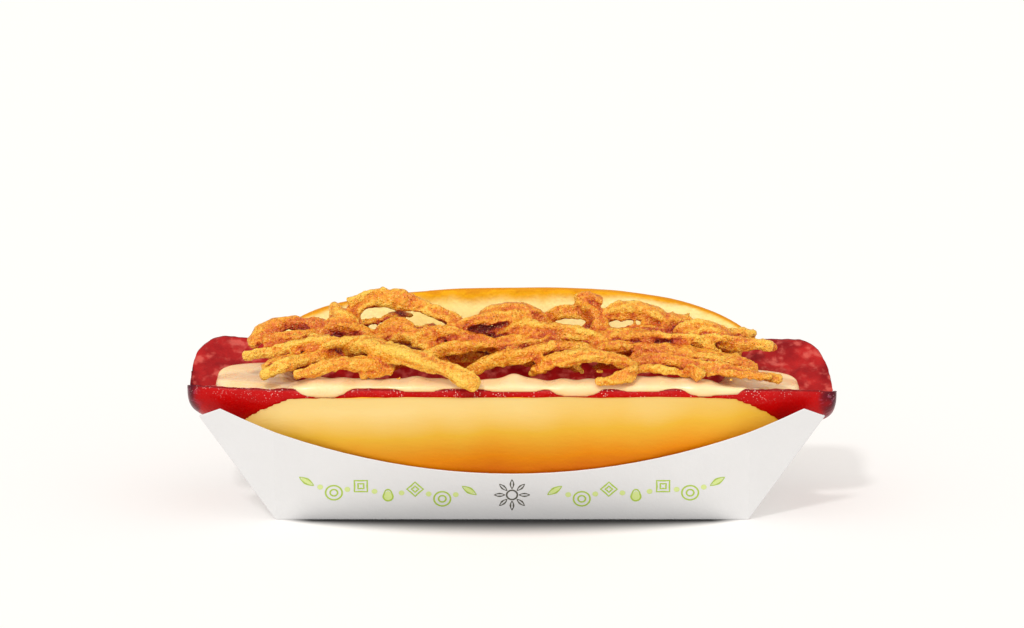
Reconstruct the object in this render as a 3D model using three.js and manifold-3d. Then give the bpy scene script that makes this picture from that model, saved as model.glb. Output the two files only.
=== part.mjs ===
// A hot dog as it is served: a split sausage opened out in a soft roll, with sauce in the split,
// a tangle of fried onion strings on top, and the folded card tray that it comes in.
// Millimetres. +X runs along the roll, -Y is the side seen from the front, +Z is up.
// The tray stands on z = 0.

import * as THREE from 'three';
import { ConvexGeometry } from 'three/addons/geometries/ConvexGeometry.js';
import { mergeVertices } from 'three/addons/utils/BufferGeometryUtils.js';
import Module from 'manifold-3d';

const wasm = await Module();
wasm.setup();

const { degToRad, lerp, smoothstep } = THREE.MathUtils;

// Air left between neighbouring solids.
const GAP = 0.3;

// Further out than any piece reaches.
const FAR = 100;

// How finely each shape is faceted: sides round a section, steps along it, or millimetres to a step.
const facets = {
  loafSides: 30,
  loafSteps: 24,
  sausageArc: 7,
  sausageSteps: 34,
  sauceAcross: 9,
  sauceSteps: 46,
  longRim: 28,
  endRim: 10,
  coreAround: 12,
  coreAlong: 16,
  stringKnots: 8,
  stringStep: 4.2,
  stringFewestSteps: 4,
  stringSides: 6,
  thinStringSides: 5,
};

// The card tray: a flat base, two long walls that lean out, two end walls that lean out more,
// and four corner panels turned back from the long walls along an upright crease.
const tray = {
  baseLength: 130,
  baseDepth: 46,
  card: 0.6,
  uncutHeight: 40,
  wallLean: 0.3125,
  endLean: 0.672,
  cornerLean: 0.18,
  rimLow: 14,
  peakX: 79.6,
  peakHeight: 33,
  tipX: 85.5,
  tipHeight: 30.5,
  endRimLow: 16.5,
  endRimHigh: 29.5,
  endRimHalfWidth: 27.3,
};

// The roll: a loaf with blunt front ends, a rounder back crown and a boat-shaped underside.
const roll = {
  halfLength: 77,
  waist: 20,
  frontBluntness: 3.7,
  frontWidthBluntness: 4.8,
  crownBluntness: 2.7,
  crownWidthBluntness: 4.6,
  undersideBluntness: 1.8,
  endShare: 0.975,
  undersideTop: 4,
  sideTop: 26,
  frontY: -12,
  crownY: 16,
};

// The loaf's outline at mid length, as [y, z], from under the front half round to under the back half.
const loafOutline = [
  [0, 1.2], [-14, 1.5], [-22.8, 7.5], [-26.9, 16], [-29.4, 24.5], [-28.6, 31], [-25, 35.5],
  [-10, 44.5], [8, 53.5], [21, 56.1], [28, 52.6], [31.5, 44], [31, 31], [27.4, 17], [22.8, 7.5], [14, 1.5],
];

// The cut that opens the roll, as [y, z]: down the front half's cut face and up the back half's.
const cutOutline = [
  [-34, 66], [-27, 35.4], [-23.5, 34.6], [-12, 31], [1, 28.4], [10, 33], [19.4, 40.5], [20.6, 54],
  [22.4, 66],
];

// The sausage, split along its length and opened like a book about the bottom of the split.
const sausage = {
  radius: 11.5,
  halfLength: 89.2,
  frontLipBluntness: 9,
  backLipBluntness: 5,
  skinBluntness: 3,
  smallestLip: 0.5,
  smallestSkin: 0.12,
  skinTurn: degToRad(148),
  hingeHalfWidth: 5,
  split: [0.5, 30],
  frontRise: degToRad(17),
  backRise: degToRad(31.5),
  hinge: 2.5,
  endStart: 58,
  leftEndLift: 1.4,
  rightEndLift: -0.5,
};

// The sauce: a bead along the front half, and at each end a pool that fills the split.
// Widths are measured along the section, from the bottom of the split to the front lip and over it.
const sauce = {
  middle: -1.2,
  skinGap: 0.36,
  trimGap: 0.24,
  halfLength: 80.8,
  endBluntness: 5,
  endShare: 0.985,
  endDepth: 0.3,
  edgeRound: 0.6,
  beadBack: 9.5,
  beadDepth: 3.4,
  ripple: 0.22,
  middleDistance: 3,
  lipOverrun: 0.4,
  lipRound: 3,
  lipDepth: 1.5,
  edgeDepth: 0.6,
  dripLength: 3.5,
  dripFlat: 0.3,
  poolFront: 19,
  poolStart: 52,
  poolFull: 64,
  overLipMiddle: 1.7,
  overLipFull: 62,
  overLipEnd: 66.5,
  leftPool: { back: 13.5, level: 37.4 },
  rightPool: { back: 10, level: 36 },
};

// Where the bead runs over the front lip: the middle, half width and share of the full drip.
const drips = [
  { x: -52.5, halfWidth: 10.5, share: 1 },
  { x: -25.5, halfWidth: 9, share: 0.35 },
  { x: 0.5, halfWidth: 12.5, share: 0.35 },
  { x: 17.5, halfWidth: 9.5, share: 0.75 },
  { x: 36, halfWidth: 10.5, share: 0.35 },
  { x: 56.5, halfWidth: 13, share: 1 },
];

// The onion strings that show. Each is an arc between two ends, pushed out in the middle by bow,
// most of all at the crest's share of its length, and as thick as its two numbers say at the ends.
const strings = [
  { from: [-74.7, -8, 42.4], to: [-34.5, -11, 46], bow: [0, -1, 2.6], crest: 0.6, thick: [3.4, 4.2] },
  { from: [-44, -11, 46.8], to: [-9.2, -24.8, 37.8], bow: [0, -2, 2.4], crest: 0.5, thick: [4.4, 5] },
  { from: [-72.5, -4, 44.4], to: [-51, -1, 48.6], bow: [0, 1, 4.4], crest: 0.4, thick: [4.4, 4.4] },
  { from: [-69.2, -6, 46.6], to: [-49, -3, 46.8], bow: [0, 0, 0.8], crest: 0.5, thick: [3.4, 3.8] },
  { from: [-69.8, -8, 43.6], to: [-61, -6, 45.2], bow: [0, 0, 0.5], crest: 0.5, thick: [3, 2.4] },
  { from: [-50.6, 3, 57], to: [-44, -1, 48.5], bow: [-1.5, 0, 0], crest: 0.5, thick: [2.4, 6.4] },
  { from: [-46, 1, 51.2], to: [-14.5, -1.8, 51], bow: [0, 3, 5.8], crest: 0.34, thick: [5, 3.6] },
  { from: [-43.5, 0, 49.6], to: [-31.5, 4, 52.6], bow: [0, 0, 0], crest: 0.5, thick: [2.4, 2] },
  { from: [-50, -2, 49.6], to: [-37, -3.5, 46.4], bow: [0, 0, 0.8], crest: 0.5, thick: [4.8, 4.4] },
  { from: [-36, -3, 47.6], to: [-21, -6, 44.6], bow: [0, 0, 3], crest: 0.45, thick: [5, 5] },
  { from: [-23.5, -5, 44.4], to: [10, 2, 50.4], bow: [0, 0, 4.6], crest: 0.45, thick: [3.6, 3.2] },
  { from: [-7.5, 1, 53], to: [7.5, 2.5, 52.2], bow: [0, 0, 2.4], crest: 0.5, thick: [3, 3.2] },
  { from: [-13, 0, 46.8], to: [1, 0, 48.4], bow: [0, 0, 0.4], crest: 0.5, thick: [3, 3] },
  { from: [-23.5, -8, 44.2], to: [10, -5, 46.9], bow: [0, 0, 0.5], crest: 0.5, thick: [3.2, 3] },
  { from: [-1, -2, 48], to: [25, -5, 46.8], bow: [0, 0, 1.5], crest: 0.5, thick: [4.2, 4.8] },
  { from: [-10, -12, 40.8], to: [21.5, -9, 46], bow: [0, -1, 1.3], crest: 0.5, thick: [4.2, 3.8] },
  { from: [9, 5, 51], to: [22, 5, 51.6], bow: [0, 0, 1.6], crest: 0.5, thick: [3.4, 3.8] },
  { from: [19, 7, 57], to: [24.4, 0, 46], bow: [1, 0, 0], crest: 0.5, thick: [3.4, 5.2] },
  { from: [21, 3, 48.4], to: [44.6, 4, 48.6], bow: [0, 0, 5.4], crest: 0.48, thick: [4.6, 4.4] },
  { from: [43, 4, 50.6], to: [50.5, 3, 49], bow: [0, 0, 0.6], crest: 0.5, thick: [4, 4.4] },
  { from: [46, 0, 46], to: [60, 0, 44.6], bow: [0, 0, 2.4], crest: 0.5, thick: [5, 5.2] },
  { from: [56, -2, 44.6], to: [73, -3, 44.3], bow: [0, 0, 0.3], crest: 0.5, thick: [3.6, 3.8] },
  { from: [25, -3, 47.4], to: [52, -4, 45], bow: [0, 0, 0.8], crest: 0.5, thick: [3.6, 3.2] },
  { from: [23, -8, 45.6], to: [63, -8, 42], bow: [0, 0, 1], crest: 0.5, thick: [3.4, 3] },
  { from: [36, -10, 43.6], to: [68, -11, 39.4], bow: [0, 0, 1.2], crest: 0.5, thick: [3.2, 3.6] },
  { from: [33, -12.5, 42.4], to: [74.5, -16, 38.2], bow: [0, 0, 1.2], crest: 0.5, thick: [3.4, 2.8] },
  { from: [53, -16, 39.6], to: [71.5, -18.5, 38.8], bow: [0, 0, 0.8], crest: 0.5, thick: [2.4, 2] },
  { from: [8.6, -13.5, 41.8], to: [32.5, -16, 42.8], bow: [0, -2, 2.6], crest: 0.5, thick: [3.6, 3.8] },
  { from: [31, -15.5, 43.4], to: [22, -23, 38.6], bow: [6, -2, -0.6], crest: 0.45, thick: [4, 3] },
  { from: [31, -16, 40.4], to: [49, -17, 40], bow: [0, 0, 0.9], crest: 0.5, thick: [2.6, 2.6] },
  { from: [48, -15, 41.4], to: [52, -21.4, 39.4], bow: [0, -0.5, 0.8], crest: 0.5, thick: [3, 3.8] },
  { from: [-69.5, -19, 39.4], to: [-52, -13, 43.6], bow: [0, 0, 1], crest: 0.5, thick: [3.2, 3.4] },
  { from: [-60.5, -18.5, 39.6], to: [-32, -15, 41], bow: [0, -1.5, 2.6], crest: 0.5, thick: [3.8, 4] },
  { from: [-69, -14.5, 40.8], to: [-50, -11, 44.4], bow: [0, 0, 0.3], crest: 0.5, thick: [3, 3] },
  { from: [-42, -17.5, 39.6], to: [-35, -17, 39.8], bow: [0, 0, 0.3], crest: 0.5, thick: [2.6, 2.4] },
];

// More strings, laid down the back of the heap by a rule.
const filler = {
  count: 8,
  seed: 11,
  shortest: 22,
  longest: 38,
  thick: 3.4,
  crest: 0.5,
  halfSpread: 54,
  nearY: 3,
  farY: 10.5,
  nearZ: 43.5,
  farZ: 41,
  sway: 7,
  leastBow: 1,
  mostBow: 3,
};

// The heap's own middle, which the strings lie on.
const core = { centre: [-1, -2.5, 41], radii: [64, 13.5, 6.6], lump: 1.1, lumpLength: 21 };

// The form that all strings share: a section a little taller than wide, on a path that wanders.
const stringForm = {
  halfWidth: 0.44,
  halfHeight: 0.54,
  thinBelow: 3.3,
  wander: 0.5,
  wanderLength: 17,
  knobble: 0.25,
  knobbleLength: 5.3,
};

const colours = {
  card: 0xe6e4df,
  crust: 0xf0b347,
  casing: 0xa81410,
  sauce: 0xfadfae,
  onion: 0xdc9434,
};

// A closed geometry as a manifold solid.
function solidOf(geometry) {
  geometry.deleteAttribute('normal');
  geometry.deleteAttribute('uv');
  const merged = mergeVertices(geometry, 1e-4);
  return new wasm.Manifold(new wasm.Mesh({
    numProp: 3,
    vertProperties: new Float32Array(merged.attributes.position.array),
    triVerts: new Uint32Array(merged.index.array),
  }));
}

// A manifold solid as a geometry that three.js can show.
function geometryOf(solid) {
  const mesh = solid.getMesh();
  const geometry = new THREE.BufferGeometry();
  geometry.setAttribute('position', new THREE.BufferAttribute(mesh.vertProperties, 3));
  geometry.setIndex(new THREE.BufferAttribute(mesh.triVerts, 1));
  geometry.computeVertexNormals();
  return geometry;
}

// The largest body of a solid, without the scraps that a cut left.
function largestBody(solid) {
  const bodies = solid.decompose();
  return bodies.reduce((best, body) => (body.volume() > best.volume() ? body : best));
}

// Moves each vertex of a geometry to where place(vertex) says.
function mapVertices(geometry, place) {
  const position = geometry.getAttribute('position');
  const vertex = new THREE.Vector3();
  for (let i = 0; i < position.count; i += 1) {
    vertex.fromBufferAttribute(position, i);
    const moved = place(vertex);
    position.setXYZ(i, moved.x, moved.y, moved.z);
  }
  return geometry;
}

// A body swept along X from an outline of Vector2(y, z). place(y, z, t) gives the point, t from -1 to 1.
function sweep(outline, steps, place) {
  const shape = new THREE.Shape(outline);
  const geometry = new THREE.ExtrudeGeometry(shape, { depth: 2, steps, bevelEnabled: false });
  return solidOf(mapVertices(geometry, (p) => place(p.x, p.y, p.z - 1)));
}

// A closed smooth outline through [y, z] points.
function smoothOutline(points, count) {
  const knots = points.map(([y, z]) => new THREE.Vector3(y, z, 0));
  const curve = new THREE.CatmullRomCurve3(knots, true, 'centripetal');
  return curve.getPoints(count).slice(0, count).map((p) => new THREE.Vector2(p.x, p.y));
}

// Stations from -1 to 1 drawn towards both ends, so that rounded ends stay smooth.
function stationX(t, halfLength) {
  return halfLength * Math.sin((t * Math.PI) / 2);
}

// How much of a section is left at x on a body with superellipse ends.
function endTaper(x, halfLength, bluntness) {
  const share = Math.min(Math.abs(x) / halfLength, 1);
  return (1 - share ** bluntness) ** (1 / bluntness);
}

// Smooth unevenness: a vector of sines of the place, for hand-made and fried surfaces.
function unevenness(p, wavelength, amount) {
  const k = (2 * Math.PI) / wavelength;
  return new THREE.Vector3(
    Math.sin(k * (p.y + 0.7 * p.z)) + Math.sin(k * (1.7 * p.z - 0.6 * p.x)),
    Math.sin(k * (p.z + 0.8 * p.x)) + Math.sin(k * (1.6 * p.x - 0.7 * p.y)),
    Math.sin(k * (p.x - 0.9 * p.y)) + Math.sin(k * (1.5 * p.y + 0.5 * p.z)),
  ).multiplyScalar(amount / 2);
}

// Repeatable random numbers from 0 to 1.
function seededRandom(seed) {
  let state = seed;
  return () => {
    state = (state * 1664525 + 1013904223) % 4294967296;
    return state / 4294967296;
  };
}

// The tray's plan at a height, as its eight corners, moved in so that leaning walls keep their thickness.
function trayRing(height, inset) {
  const wallInset = inset * Math.hypot(1, tray.wallLean);
  const endInset = inset * Math.hypot(1, tray.endLean);
  const creaseX = tray.baseLength / 2 - inset / 2;
  const creaseY = tray.baseDepth / 2 + tray.wallLean * height - wallInset;
  const tipX = tray.baseLength / 2 + tray.endLean * height - endInset;
  const tipY = tray.baseDepth / 2 + tray.cornerLean * height - wallInset;
  const corners = [];
  for (const sideX of [-1, 1]) {
    for (const sideY of [-1, 1]) {
      corners.push(new THREE.Vector3(sideX * creaseX, sideY * creaseY, height));
      corners.push(new THREE.Vector3(sideX * tipX, sideY * tipY, height));
    }
  }
  return corners;
}

// What is cut away above the curved rims of the long walls.
function aboveLongRims() {
  const slope = (tray.tipHeight - tray.peakHeight) / (tray.tipX - tray.peakX);
  const farHeight = tray.peakHeight + slope * (FAR - tray.peakX);
  const shape = new THREE.Shape();
  shape.moveTo(-FAR, FAR);
  shape.lineTo(-FAR, farHeight);
  shape.lineTo(-tray.peakX, tray.peakHeight);
  shape.quadraticCurveTo(0, 2 * tray.rimLow - tray.peakHeight, tray.peakX, tray.peakHeight);
  shape.lineTo(FAR, farHeight);
  shape.lineTo(FAR, FAR);
  const options = { depth: 2 * FAR, bevelEnabled: false, curveSegments: facets.longRim };
  const geometry = new THREE.ExtrudeGeometry(shape, options);
  geometry.translate(0, 0, -FAR);
  geometry.rotateX(Math.PI / 2);
  return solidOf(geometry);
}

// What is cut away above the dipped rim of one end wall.
function aboveEndRim(side) {
  const half = tray.endRimHalfWidth;
  const shape = new THREE.Shape();
  shape.moveTo(-half, FAR);
  shape.lineTo(-half, tray.endRimHigh);
  shape.quadraticCurveTo(0, 2 * tray.endRimLow - tray.endRimHigh, half, tray.endRimHigh);
  shape.lineTo(half, FAR);
  const options = { depth: FAR, bevelEnabled: false, curveSegments: facets.endRim };
  const geometry = new THREE.ExtrudeGeometry(shape, options);
  return solidOf(mapVertices(geometry, (p) => new THREE.Vector3(
    side * (tray.baseLength / 2 + p.z),
    side * p.x,
    p.y,
  )));
}

function buildTray() {
  const { card, uncutHeight } = tray;
  const outer = new ConvexGeometry([...trayRing(0, 0), ...trayRing(uncutHeight, 0)]);
  const inner = new ConvexGeometry([...trayRing(card, card), ...trayRing(uncutHeight + card, card)]);
  return solidOf(outer)
    .subtract(solidOf(inner))
    .subtract(aboveLongRims())
    .subtract(aboveEndRim(1))
    .subtract(aboveEndRim(-1));
}

// Where a point of the loaf's outline lies at a station: the ends round off by how high and how far
// back the point is.
function loafPlace(y, z, t) {
  const x = stationX(t * roll.endShare, roll.halfLength);
  const up = smoothstep(z, roll.undersideTop, roll.sideTop);
  const back = smoothstep(y, roll.frontY, roll.crownY);
  const taper = (front, crown) => {
    const top = lerp(front, crown, back);
    return endTaper(x, roll.halfLength, lerp(roll.undersideBluntness, top, up));
  };
  const width = taper(roll.frontWidthBluntness, roll.crownWidthBluntness);
  const height = taper(roll.frontBluntness, roll.crownBluntness);
  return new THREE.Vector3(x, y * width, roll.waist + (z - roll.waist) * height);
}

function buildRoll() {
  const loaf = sweep(smoothOutline(loafOutline, facets.loafSides), facets.loafSteps, loafPlace);
  const cutCorners = cutOutline.map(([y, z]) => new THREE.Vector2(y, z));
  const cut = sweep(cutCorners, 1, (y, z, t) => new THREE.Vector3(t * FAR, y, z));
  return largestBody(loaf.subtract(cut).subtract(buildSausage(GAP)).subtract(buildSauce(GAP)));
}

// Directions of one half of the opened sausage: along its cut face to the lip, and out of its skin.
function halfFrame(side) {
  const rise = side < 0 ? sausage.frontRise : sausage.backRise;
  const split = new THREE.Vector2(...sausage.split);
  const along = new THREE.Vector2(side * Math.cos(rise), Math.sin(rise));
  const down = new THREE.Vector2(side * Math.sin(rise), -Math.cos(rise));
  const centre = split.clone().addScaledVector(along, sausage.radius);
  return { along, down, centre };
}

// A point of a half's skin, turned by an angle from its lip, at a distance from the half's axis.
function skinPoint({ along, down, centre }, angle, distance) {
  return centre.clone()
    .addScaledVector(along, distance * Math.cos(angle))
    .addScaledVector(down, distance * Math.sin(angle));
}

// The direction straight out of the bottom of the split.
function splitUp() {
  return halfFrame(-1).along.add(halfFrame(1).along).normalize();
}

// The opened sausage's section, grown outwards by a margin.
function sausageOutline(grow) {
  const distance = sausage.radius + grow;
  const first = -Math.asin(grow / distance);
  const arc = (half) => Array.from({ length: facets.sausageArc + 1 }, (_, i) => (
    skinPoint(half, lerp(first, sausage.skinTurn, i / facets.sausageArc), distance)
  ));
  const split = new THREE.Vector2(...sausage.split);
  const opening = (Math.PI - sausage.frontRise - sausage.backRise) / 2;
  const hinge = split.clone().addScaledVector(splitUp(), -sausage.hinge - grow);
  const floor = split.clone().addScaledVector(splitUp(), grow / Math.sin(opening));
  return [...arc(halfFrame(-1)), hinge, ...arc(halfFrame(1)).reverse(), floor];
}

// How far the sausage's ends lie above or below the line of its middle.
function endLift(x) {
  const share = Math.max(Math.abs(x) - sausage.endStart, 0) / (sausage.halfLength - sausage.endStart);
  return (x < 0 ? sausage.leftEndLift : sausage.rightEndLift) * share ** 2;
}

// Near its ends each half shrinks towards its own axis, the skin sooner than the lip, and the hinge stays.
function buildSausage(grow) {
  const halfLength = sausage.halfLength + grow;
  const [splitY] = sausage.split;
  const halves = [halfFrame(-1), halfFrame(1)];
  return sweep(sausageOutline(grow), facets.sausageSteps, (y, z, t) => {
    const x = stationX(t, halfLength);
    const { along, down, centre } = y < splitY ? halves[0] : halves[1];
    const fromAxis = new THREE.Vector2(y, z).sub(centre);
    const lipBluntness = y < splitY ? sausage.frontLipBluntness : sausage.backLipBluntness;
    const lipTaper = Math.max(endTaper(x, halfLength, lipBluntness), sausage.smallestLip);
    const skinTaper = Math.max(endTaper(x, halfLength, sausage.skinBluntness), sausage.smallestSkin);
    const free = smoothstep(Math.abs(y - splitY), 0, sausage.hingeHalfWidth);
    const point = centre.clone()
      .addScaledVector(along, fromAxis.dot(along) * lerp(1, lipTaper, free))
      .addScaledVector(down, fromAxis.dot(down) * skinTaper);
    return new THREE.Vector3(x, point.x, point.y + endLift(x));
  });
}

// How much of the sauce at x is pool rather than bead.
function poolShare(x) {
  return smoothstep(Math.abs(x - sauce.middle), sauce.poolStart, sauce.poolFull);
}

// How far the sauce's front edge lies from the bottom of the split at x.
function sauceFront(x) {
  const runs = drips.map((drip) => {
    const across = Math.abs(x - drip.x) / drip.halfWidth;
    return drip.share * sauce.dripLength * (1 - smoothstep(across, sauce.dripFlat, 1));
  });
  const bead = 2 * sausage.radius + sauce.lipOverrun + Math.max(...runs);
  const fromMiddle = Math.abs(x - sauce.overLipMiddle);
  const behindLip = smoothstep(fromMiddle, sauce.overLipFull, sauce.overLipEnd);
  return lerp(bead, sauce.poolFront, behindLip);
}

// A point just off the sausage at a distance along the section, which runs from the split over the
// front lip where it is positive and up the back half where it is negative, and the way out of it.
function surfaceAt(distance, offset) {
  const half = halfFrame(distance < 0 ? 1 : -1);
  const lip = 2 * sausage.radius;
  if (distance > lip) {
    const angle = (distance - lip) / sausage.radius;
    const point = skinPoint(half, angle, sausage.radius + offset);
    return { point, out: point.clone().sub(half.centre).normalize() };
  }
  const split = new THREE.Vector2(...sausage.split);
  const onFace = smoothstep(Math.abs(distance), 0, sausage.hingeHalfWidth);
  const faceOut = half.down.clone().negate();
  const out = splitUp().lerp(faceOut, onFace).normalize();
  const point = split
    .addScaledVector(half.along, Math.abs(distance))
    .addScaledVector(faceOut, offset)
    .addScaledVector(splitUp(), (offset / 2) * (1 - onFace));
  const atLip = smoothstep(distance, lip - sauce.lipRound, lip);
  return { point, out: out.lerp(half.along, atLip / 2).normalize() };
}

// The distances along the section where the sauce is sampled, from its front edge to its back edge.
function sauceStations(front, back, count) {
  const lip = Math.min(2 * sausage.radius, front - sauce.lipOverrun);
  const overLip = [front, (front + lip) / 2];
  const steps = count - overLip.length;
  return [...overLip, ...Array.from({ length: steps + 1 }, (_, i) => lerp(lip, back, i / steps))];
}

// How deep the sauce is on the face at a distance along the section.
function sauceDepth(distance, x, point, out) {
  const lip = 2 * sausage.radius;
  const across = (2 * distance - lip - sauce.beadBack) / (lip - sauce.beadBack);
  const ripple = sauce.ripple * (Math.sin(x * 0.42) + Math.sin(x * 0.93 + 1));
  const crown = Math.max(1 - across ** 2, 0) * (sauce.beadDepth - sauce.lipDepth + ripple);
  const bead = sauce.lipDepth + crown;
  const pool = x < sauce.middle ? sauce.leftPool : sauce.rightPool;
  const filled = distance > lip ? sauce.lipDepth : Math.max((pool.level - point.y) / out.y, sauce.edgeDepth);
  return lerp(bead, filled, poolShare(x));
}

// A thin box wrapped over the sausage: its underside just off the skin, its top at the sauce's depth.
function buildSauce(grow) {
  const across = facets.sauceAcross;
  const geometry = new THREE.BoxGeometry(2, 1, 1, facets.sauceSteps, across, 1);
  const spread = solidOf(mapVertices(geometry, (p) => {
    const along = stationX(p.x * sauce.endShare, sauce.halfLength + grow);
    const x = sauce.middle + along;
    const taper = endTaper(along, sauce.halfLength + grow, sauce.endBluntness);
    const pool = x < sauce.middle ? sauce.leftPool : sauce.rightPool;
    const back = lerp(sauce.beadBack, -pool.back, poolShare(x));
    const narrow = (distance) => lerp(sauce.middleDistance, distance, taper);
    const stations = sauceStations(narrow(sauceFront(x)) + grow, narrow(back) - grow, across);
    const index = Math.round((p.y + 0.5) * across);
    const { point, out } = surfaceAt(stations[index], sauce.skinGap);
    const rounded = Math.sin((Math.PI * index) / across) ** sauce.edgeRound;
    const inside = index > 0 && index < across ? 1 : 0;
    const edge = lerp(rounded, inside, poolShare(x));
    const depth = sauceDepth(stations[index], x, point, out) * lerp(sauce.endDepth, 1, taper);
    const lift = p.z > 0 ? Math.max(sauce.edgeDepth, depth * edge) + 2 * grow : 0;
    return new THREE.Vector3(x, point.x + out.x * lift, point.y + out.y * lift + endLift(x));
  }));
  return largestBody(spread.subtract(buildSausage(sauce.trimGap)));
}

// The path of a string: an arc between two ends that wanders a little.
function stringPath({ from, to, bow, crest }) {
  const start = new THREE.Vector3(...from);
  const end = new THREE.Vector3(...to);
  const push = new THREE.Vector3(...bow);
  const skew = Math.log(0.5) / Math.log(crest);
  const knots = Array.from({ length: facets.stringKnots + 1 }, (_, i) => {
    const t = i / facets.stringKnots;
    const knot = start.clone().lerp(end, t).addScaledVector(push, Math.sin(Math.PI * t ** skew));
    return knot.add(unevenness(knot, stringForm.wanderLength, stringForm.wander));
  });
  return new THREE.CatmullRomCurve3(knots);
}

// One fried string: a knobbly tube along its path, as thick at each end as its two numbers say.
function stringSolid(string) {
  const [thickStart, thickEnd] = string.thick;
  const thin = Math.max(thickStart, thickEnd) < stringForm.thinBelow;
  const sides = thin ? facets.thinStringSides : facets.stringSides;
  const { halfWidth, halfHeight } = stringForm;
  const section = new THREE.Shape(Array.from({ length: sides }, (_, i) => {
    const angle = (2 * Math.PI * i) / sides;
    return new THREE.Vector2(halfWidth * Math.cos(angle), halfHeight * Math.sin(angle));
  }));
  const path = stringPath(string);
  const steps = Math.max(facets.stringFewestSteps, Math.round(path.getLength() / facets.stringStep));
  const tube = new THREE.ExtrudeGeometry(section, { steps, extrudePath: path, bevelEnabled: false });
  const stations = path.getSpacedPoints(steps);
  return solidOf(mapVertices(tube, (p) => {
    const distances = stations.map((station) => station.distanceTo(p));
    const nearest = distances.indexOf(Math.min(...distances));
    const grown = stations[nearest].clone().lerp(p, lerp(thickStart, thickEnd, nearest / steps));
    return grown.add(unevenness(grown, stringForm.knobbleLength, stringForm.knobble));
  }));
}

// Strings for the back of the heap, each along the roll with a little sway, by a seeded rule.
function fillerStrings() {
  const random = seededRandom(filler.seed);
  return Array.from({ length: filler.count }, (_, i) => {
    const half = lerp(filler.shortest, filler.longest, random()) / 2;
    const x = lerp(-filler.halfSpread, filler.halfSpread, (i + random()) / filler.count);
    const depth = random();
    const y = lerp(filler.nearY, filler.farY, depth);
    const z = lerp(filler.nearZ, filler.farZ, depth);
    const sway = (random() - 0.5) * filler.sway;
    return {
      from: [x - half, y - sway / 2, z],
      to: [x + half, y + sway / 2, z],
      bow: [0, 0, lerp(filler.leastBow, filler.mostBow, random())],
      crest: filler.crest,
      thick: [filler.thick, filler.thick],
    };
  });
}

// The lumpy ellipsoid under the strings.
function coreSolid() {
  const ball = new THREE.SphereGeometry(1, facets.coreAlong, facets.coreAround);
  ball.rotateZ(Math.PI / 2);
  return solidOf(mapVertices(ball, (p) => {
    const point = new THREE.Vector3(...core.radii).multiply(p).add(new THREE.Vector3(...core.centre));
    return point.add(unevenness(point, core.lumpLength, core.lump));
  }));
}

// The heap, trimmed so that it lies on the sausage and the sauce.
function buildOnions() {
  const laid = [...strings, ...fillerStrings()].map(stringSolid);
  const heap = laid.reduce((solid, string) => solid.add(string), coreSolid());
  return largestBody(heap.subtract(buildSausage(GAP)).subtract(buildSauce(GAP)));
}

function addPiece(group, name, solid, color, roughness) {
  const material = new THREE.MeshStandardMaterial({ color, roughness, metalness: 0 });
  const mesh = new THREE.Mesh(geometryOf(solid), material);
  mesh.name = name;
  group.add(mesh);
}

// The origin is under the middle of the whole, on the surface that the tray stands on.
function centreOnFloor(group) {
  const box = new THREE.Box3().setFromObject(group);
  const centre = box.getCenter(new THREE.Vector3());
  group.position.set(-centre.x, -centre.y, -box.min.z);
}

const hotDog = new THREE.Group();
addPiece(hotDog, 'card_tray', buildTray(), colours.card, 0.75);
addPiece(hotDog, 'roll', buildRoll(), colours.crust, 0.6);
addPiece(hotDog, 'split_sausage', buildSausage(0), colours.casing, 0.3);
addPiece(hotDog, 'sauce', buildSauce(0), colours.sauce, 0.3);
addPiece(hotDog, 'fried_onions', buildOnions(), colours.onion, 0.7);
centreOnFloor(hotDog);

export default hotDog;
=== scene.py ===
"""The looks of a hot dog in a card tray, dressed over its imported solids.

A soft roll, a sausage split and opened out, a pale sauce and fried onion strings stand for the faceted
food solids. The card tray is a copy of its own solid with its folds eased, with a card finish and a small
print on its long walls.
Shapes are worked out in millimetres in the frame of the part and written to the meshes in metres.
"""

import logging
import math
from collections.abc import Callable, Sequence
from dataclasses import dataclass, field
from enum import Enum

import bpy
import numpy as np
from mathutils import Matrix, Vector, noise
from mathutils.bvhtree import BVHTree
from mathutils.kdtree import KDTree


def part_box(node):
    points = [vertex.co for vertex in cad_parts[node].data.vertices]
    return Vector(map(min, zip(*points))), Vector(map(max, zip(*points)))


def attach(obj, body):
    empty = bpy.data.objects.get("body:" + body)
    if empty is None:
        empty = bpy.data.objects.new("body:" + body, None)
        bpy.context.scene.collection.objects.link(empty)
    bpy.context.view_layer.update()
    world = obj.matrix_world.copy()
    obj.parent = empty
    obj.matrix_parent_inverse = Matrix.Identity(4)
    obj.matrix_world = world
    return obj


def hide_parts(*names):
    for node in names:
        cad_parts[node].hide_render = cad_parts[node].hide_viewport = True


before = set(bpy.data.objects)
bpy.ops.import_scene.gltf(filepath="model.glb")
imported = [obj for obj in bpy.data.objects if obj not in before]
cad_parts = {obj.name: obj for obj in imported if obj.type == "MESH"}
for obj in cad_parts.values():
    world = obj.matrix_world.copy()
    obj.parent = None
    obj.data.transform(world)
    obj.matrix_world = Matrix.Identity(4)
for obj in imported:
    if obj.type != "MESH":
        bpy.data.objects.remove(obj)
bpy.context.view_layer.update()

LOG = logging.getLogger("hot dog")

MM = 0.001

Place = tuple[float, float, float]
Points = np.ndarray
Socket = bpy.types.NodeSocket


class Slot(Enum):
    """Material slots of the record."""

    CARD = "card"
    BREAD = "bread"
    SAUSAGE = "sausage"
    SAUCE = "sauce"
    ONION = "onion"


class Layer(Enum):
    """Point attributes that the finishes read."""

    DEPTH = "depth"
    TOAST = "toast"
    FACE = "face"
    # Where painted glints go on the sausage's skin.
    LIP = "lip"
    END = "end"
    TONE = "tone"
    HILL = "hill"
    COVER = "cover"


# Numbers shared by the shapes


def blend(low: float | Points, high: float | Points, share: float | Points) -> float | Points:
    """Return the value that lies a share of the way from low to high."""
    return low + (high - low) * share


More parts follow.
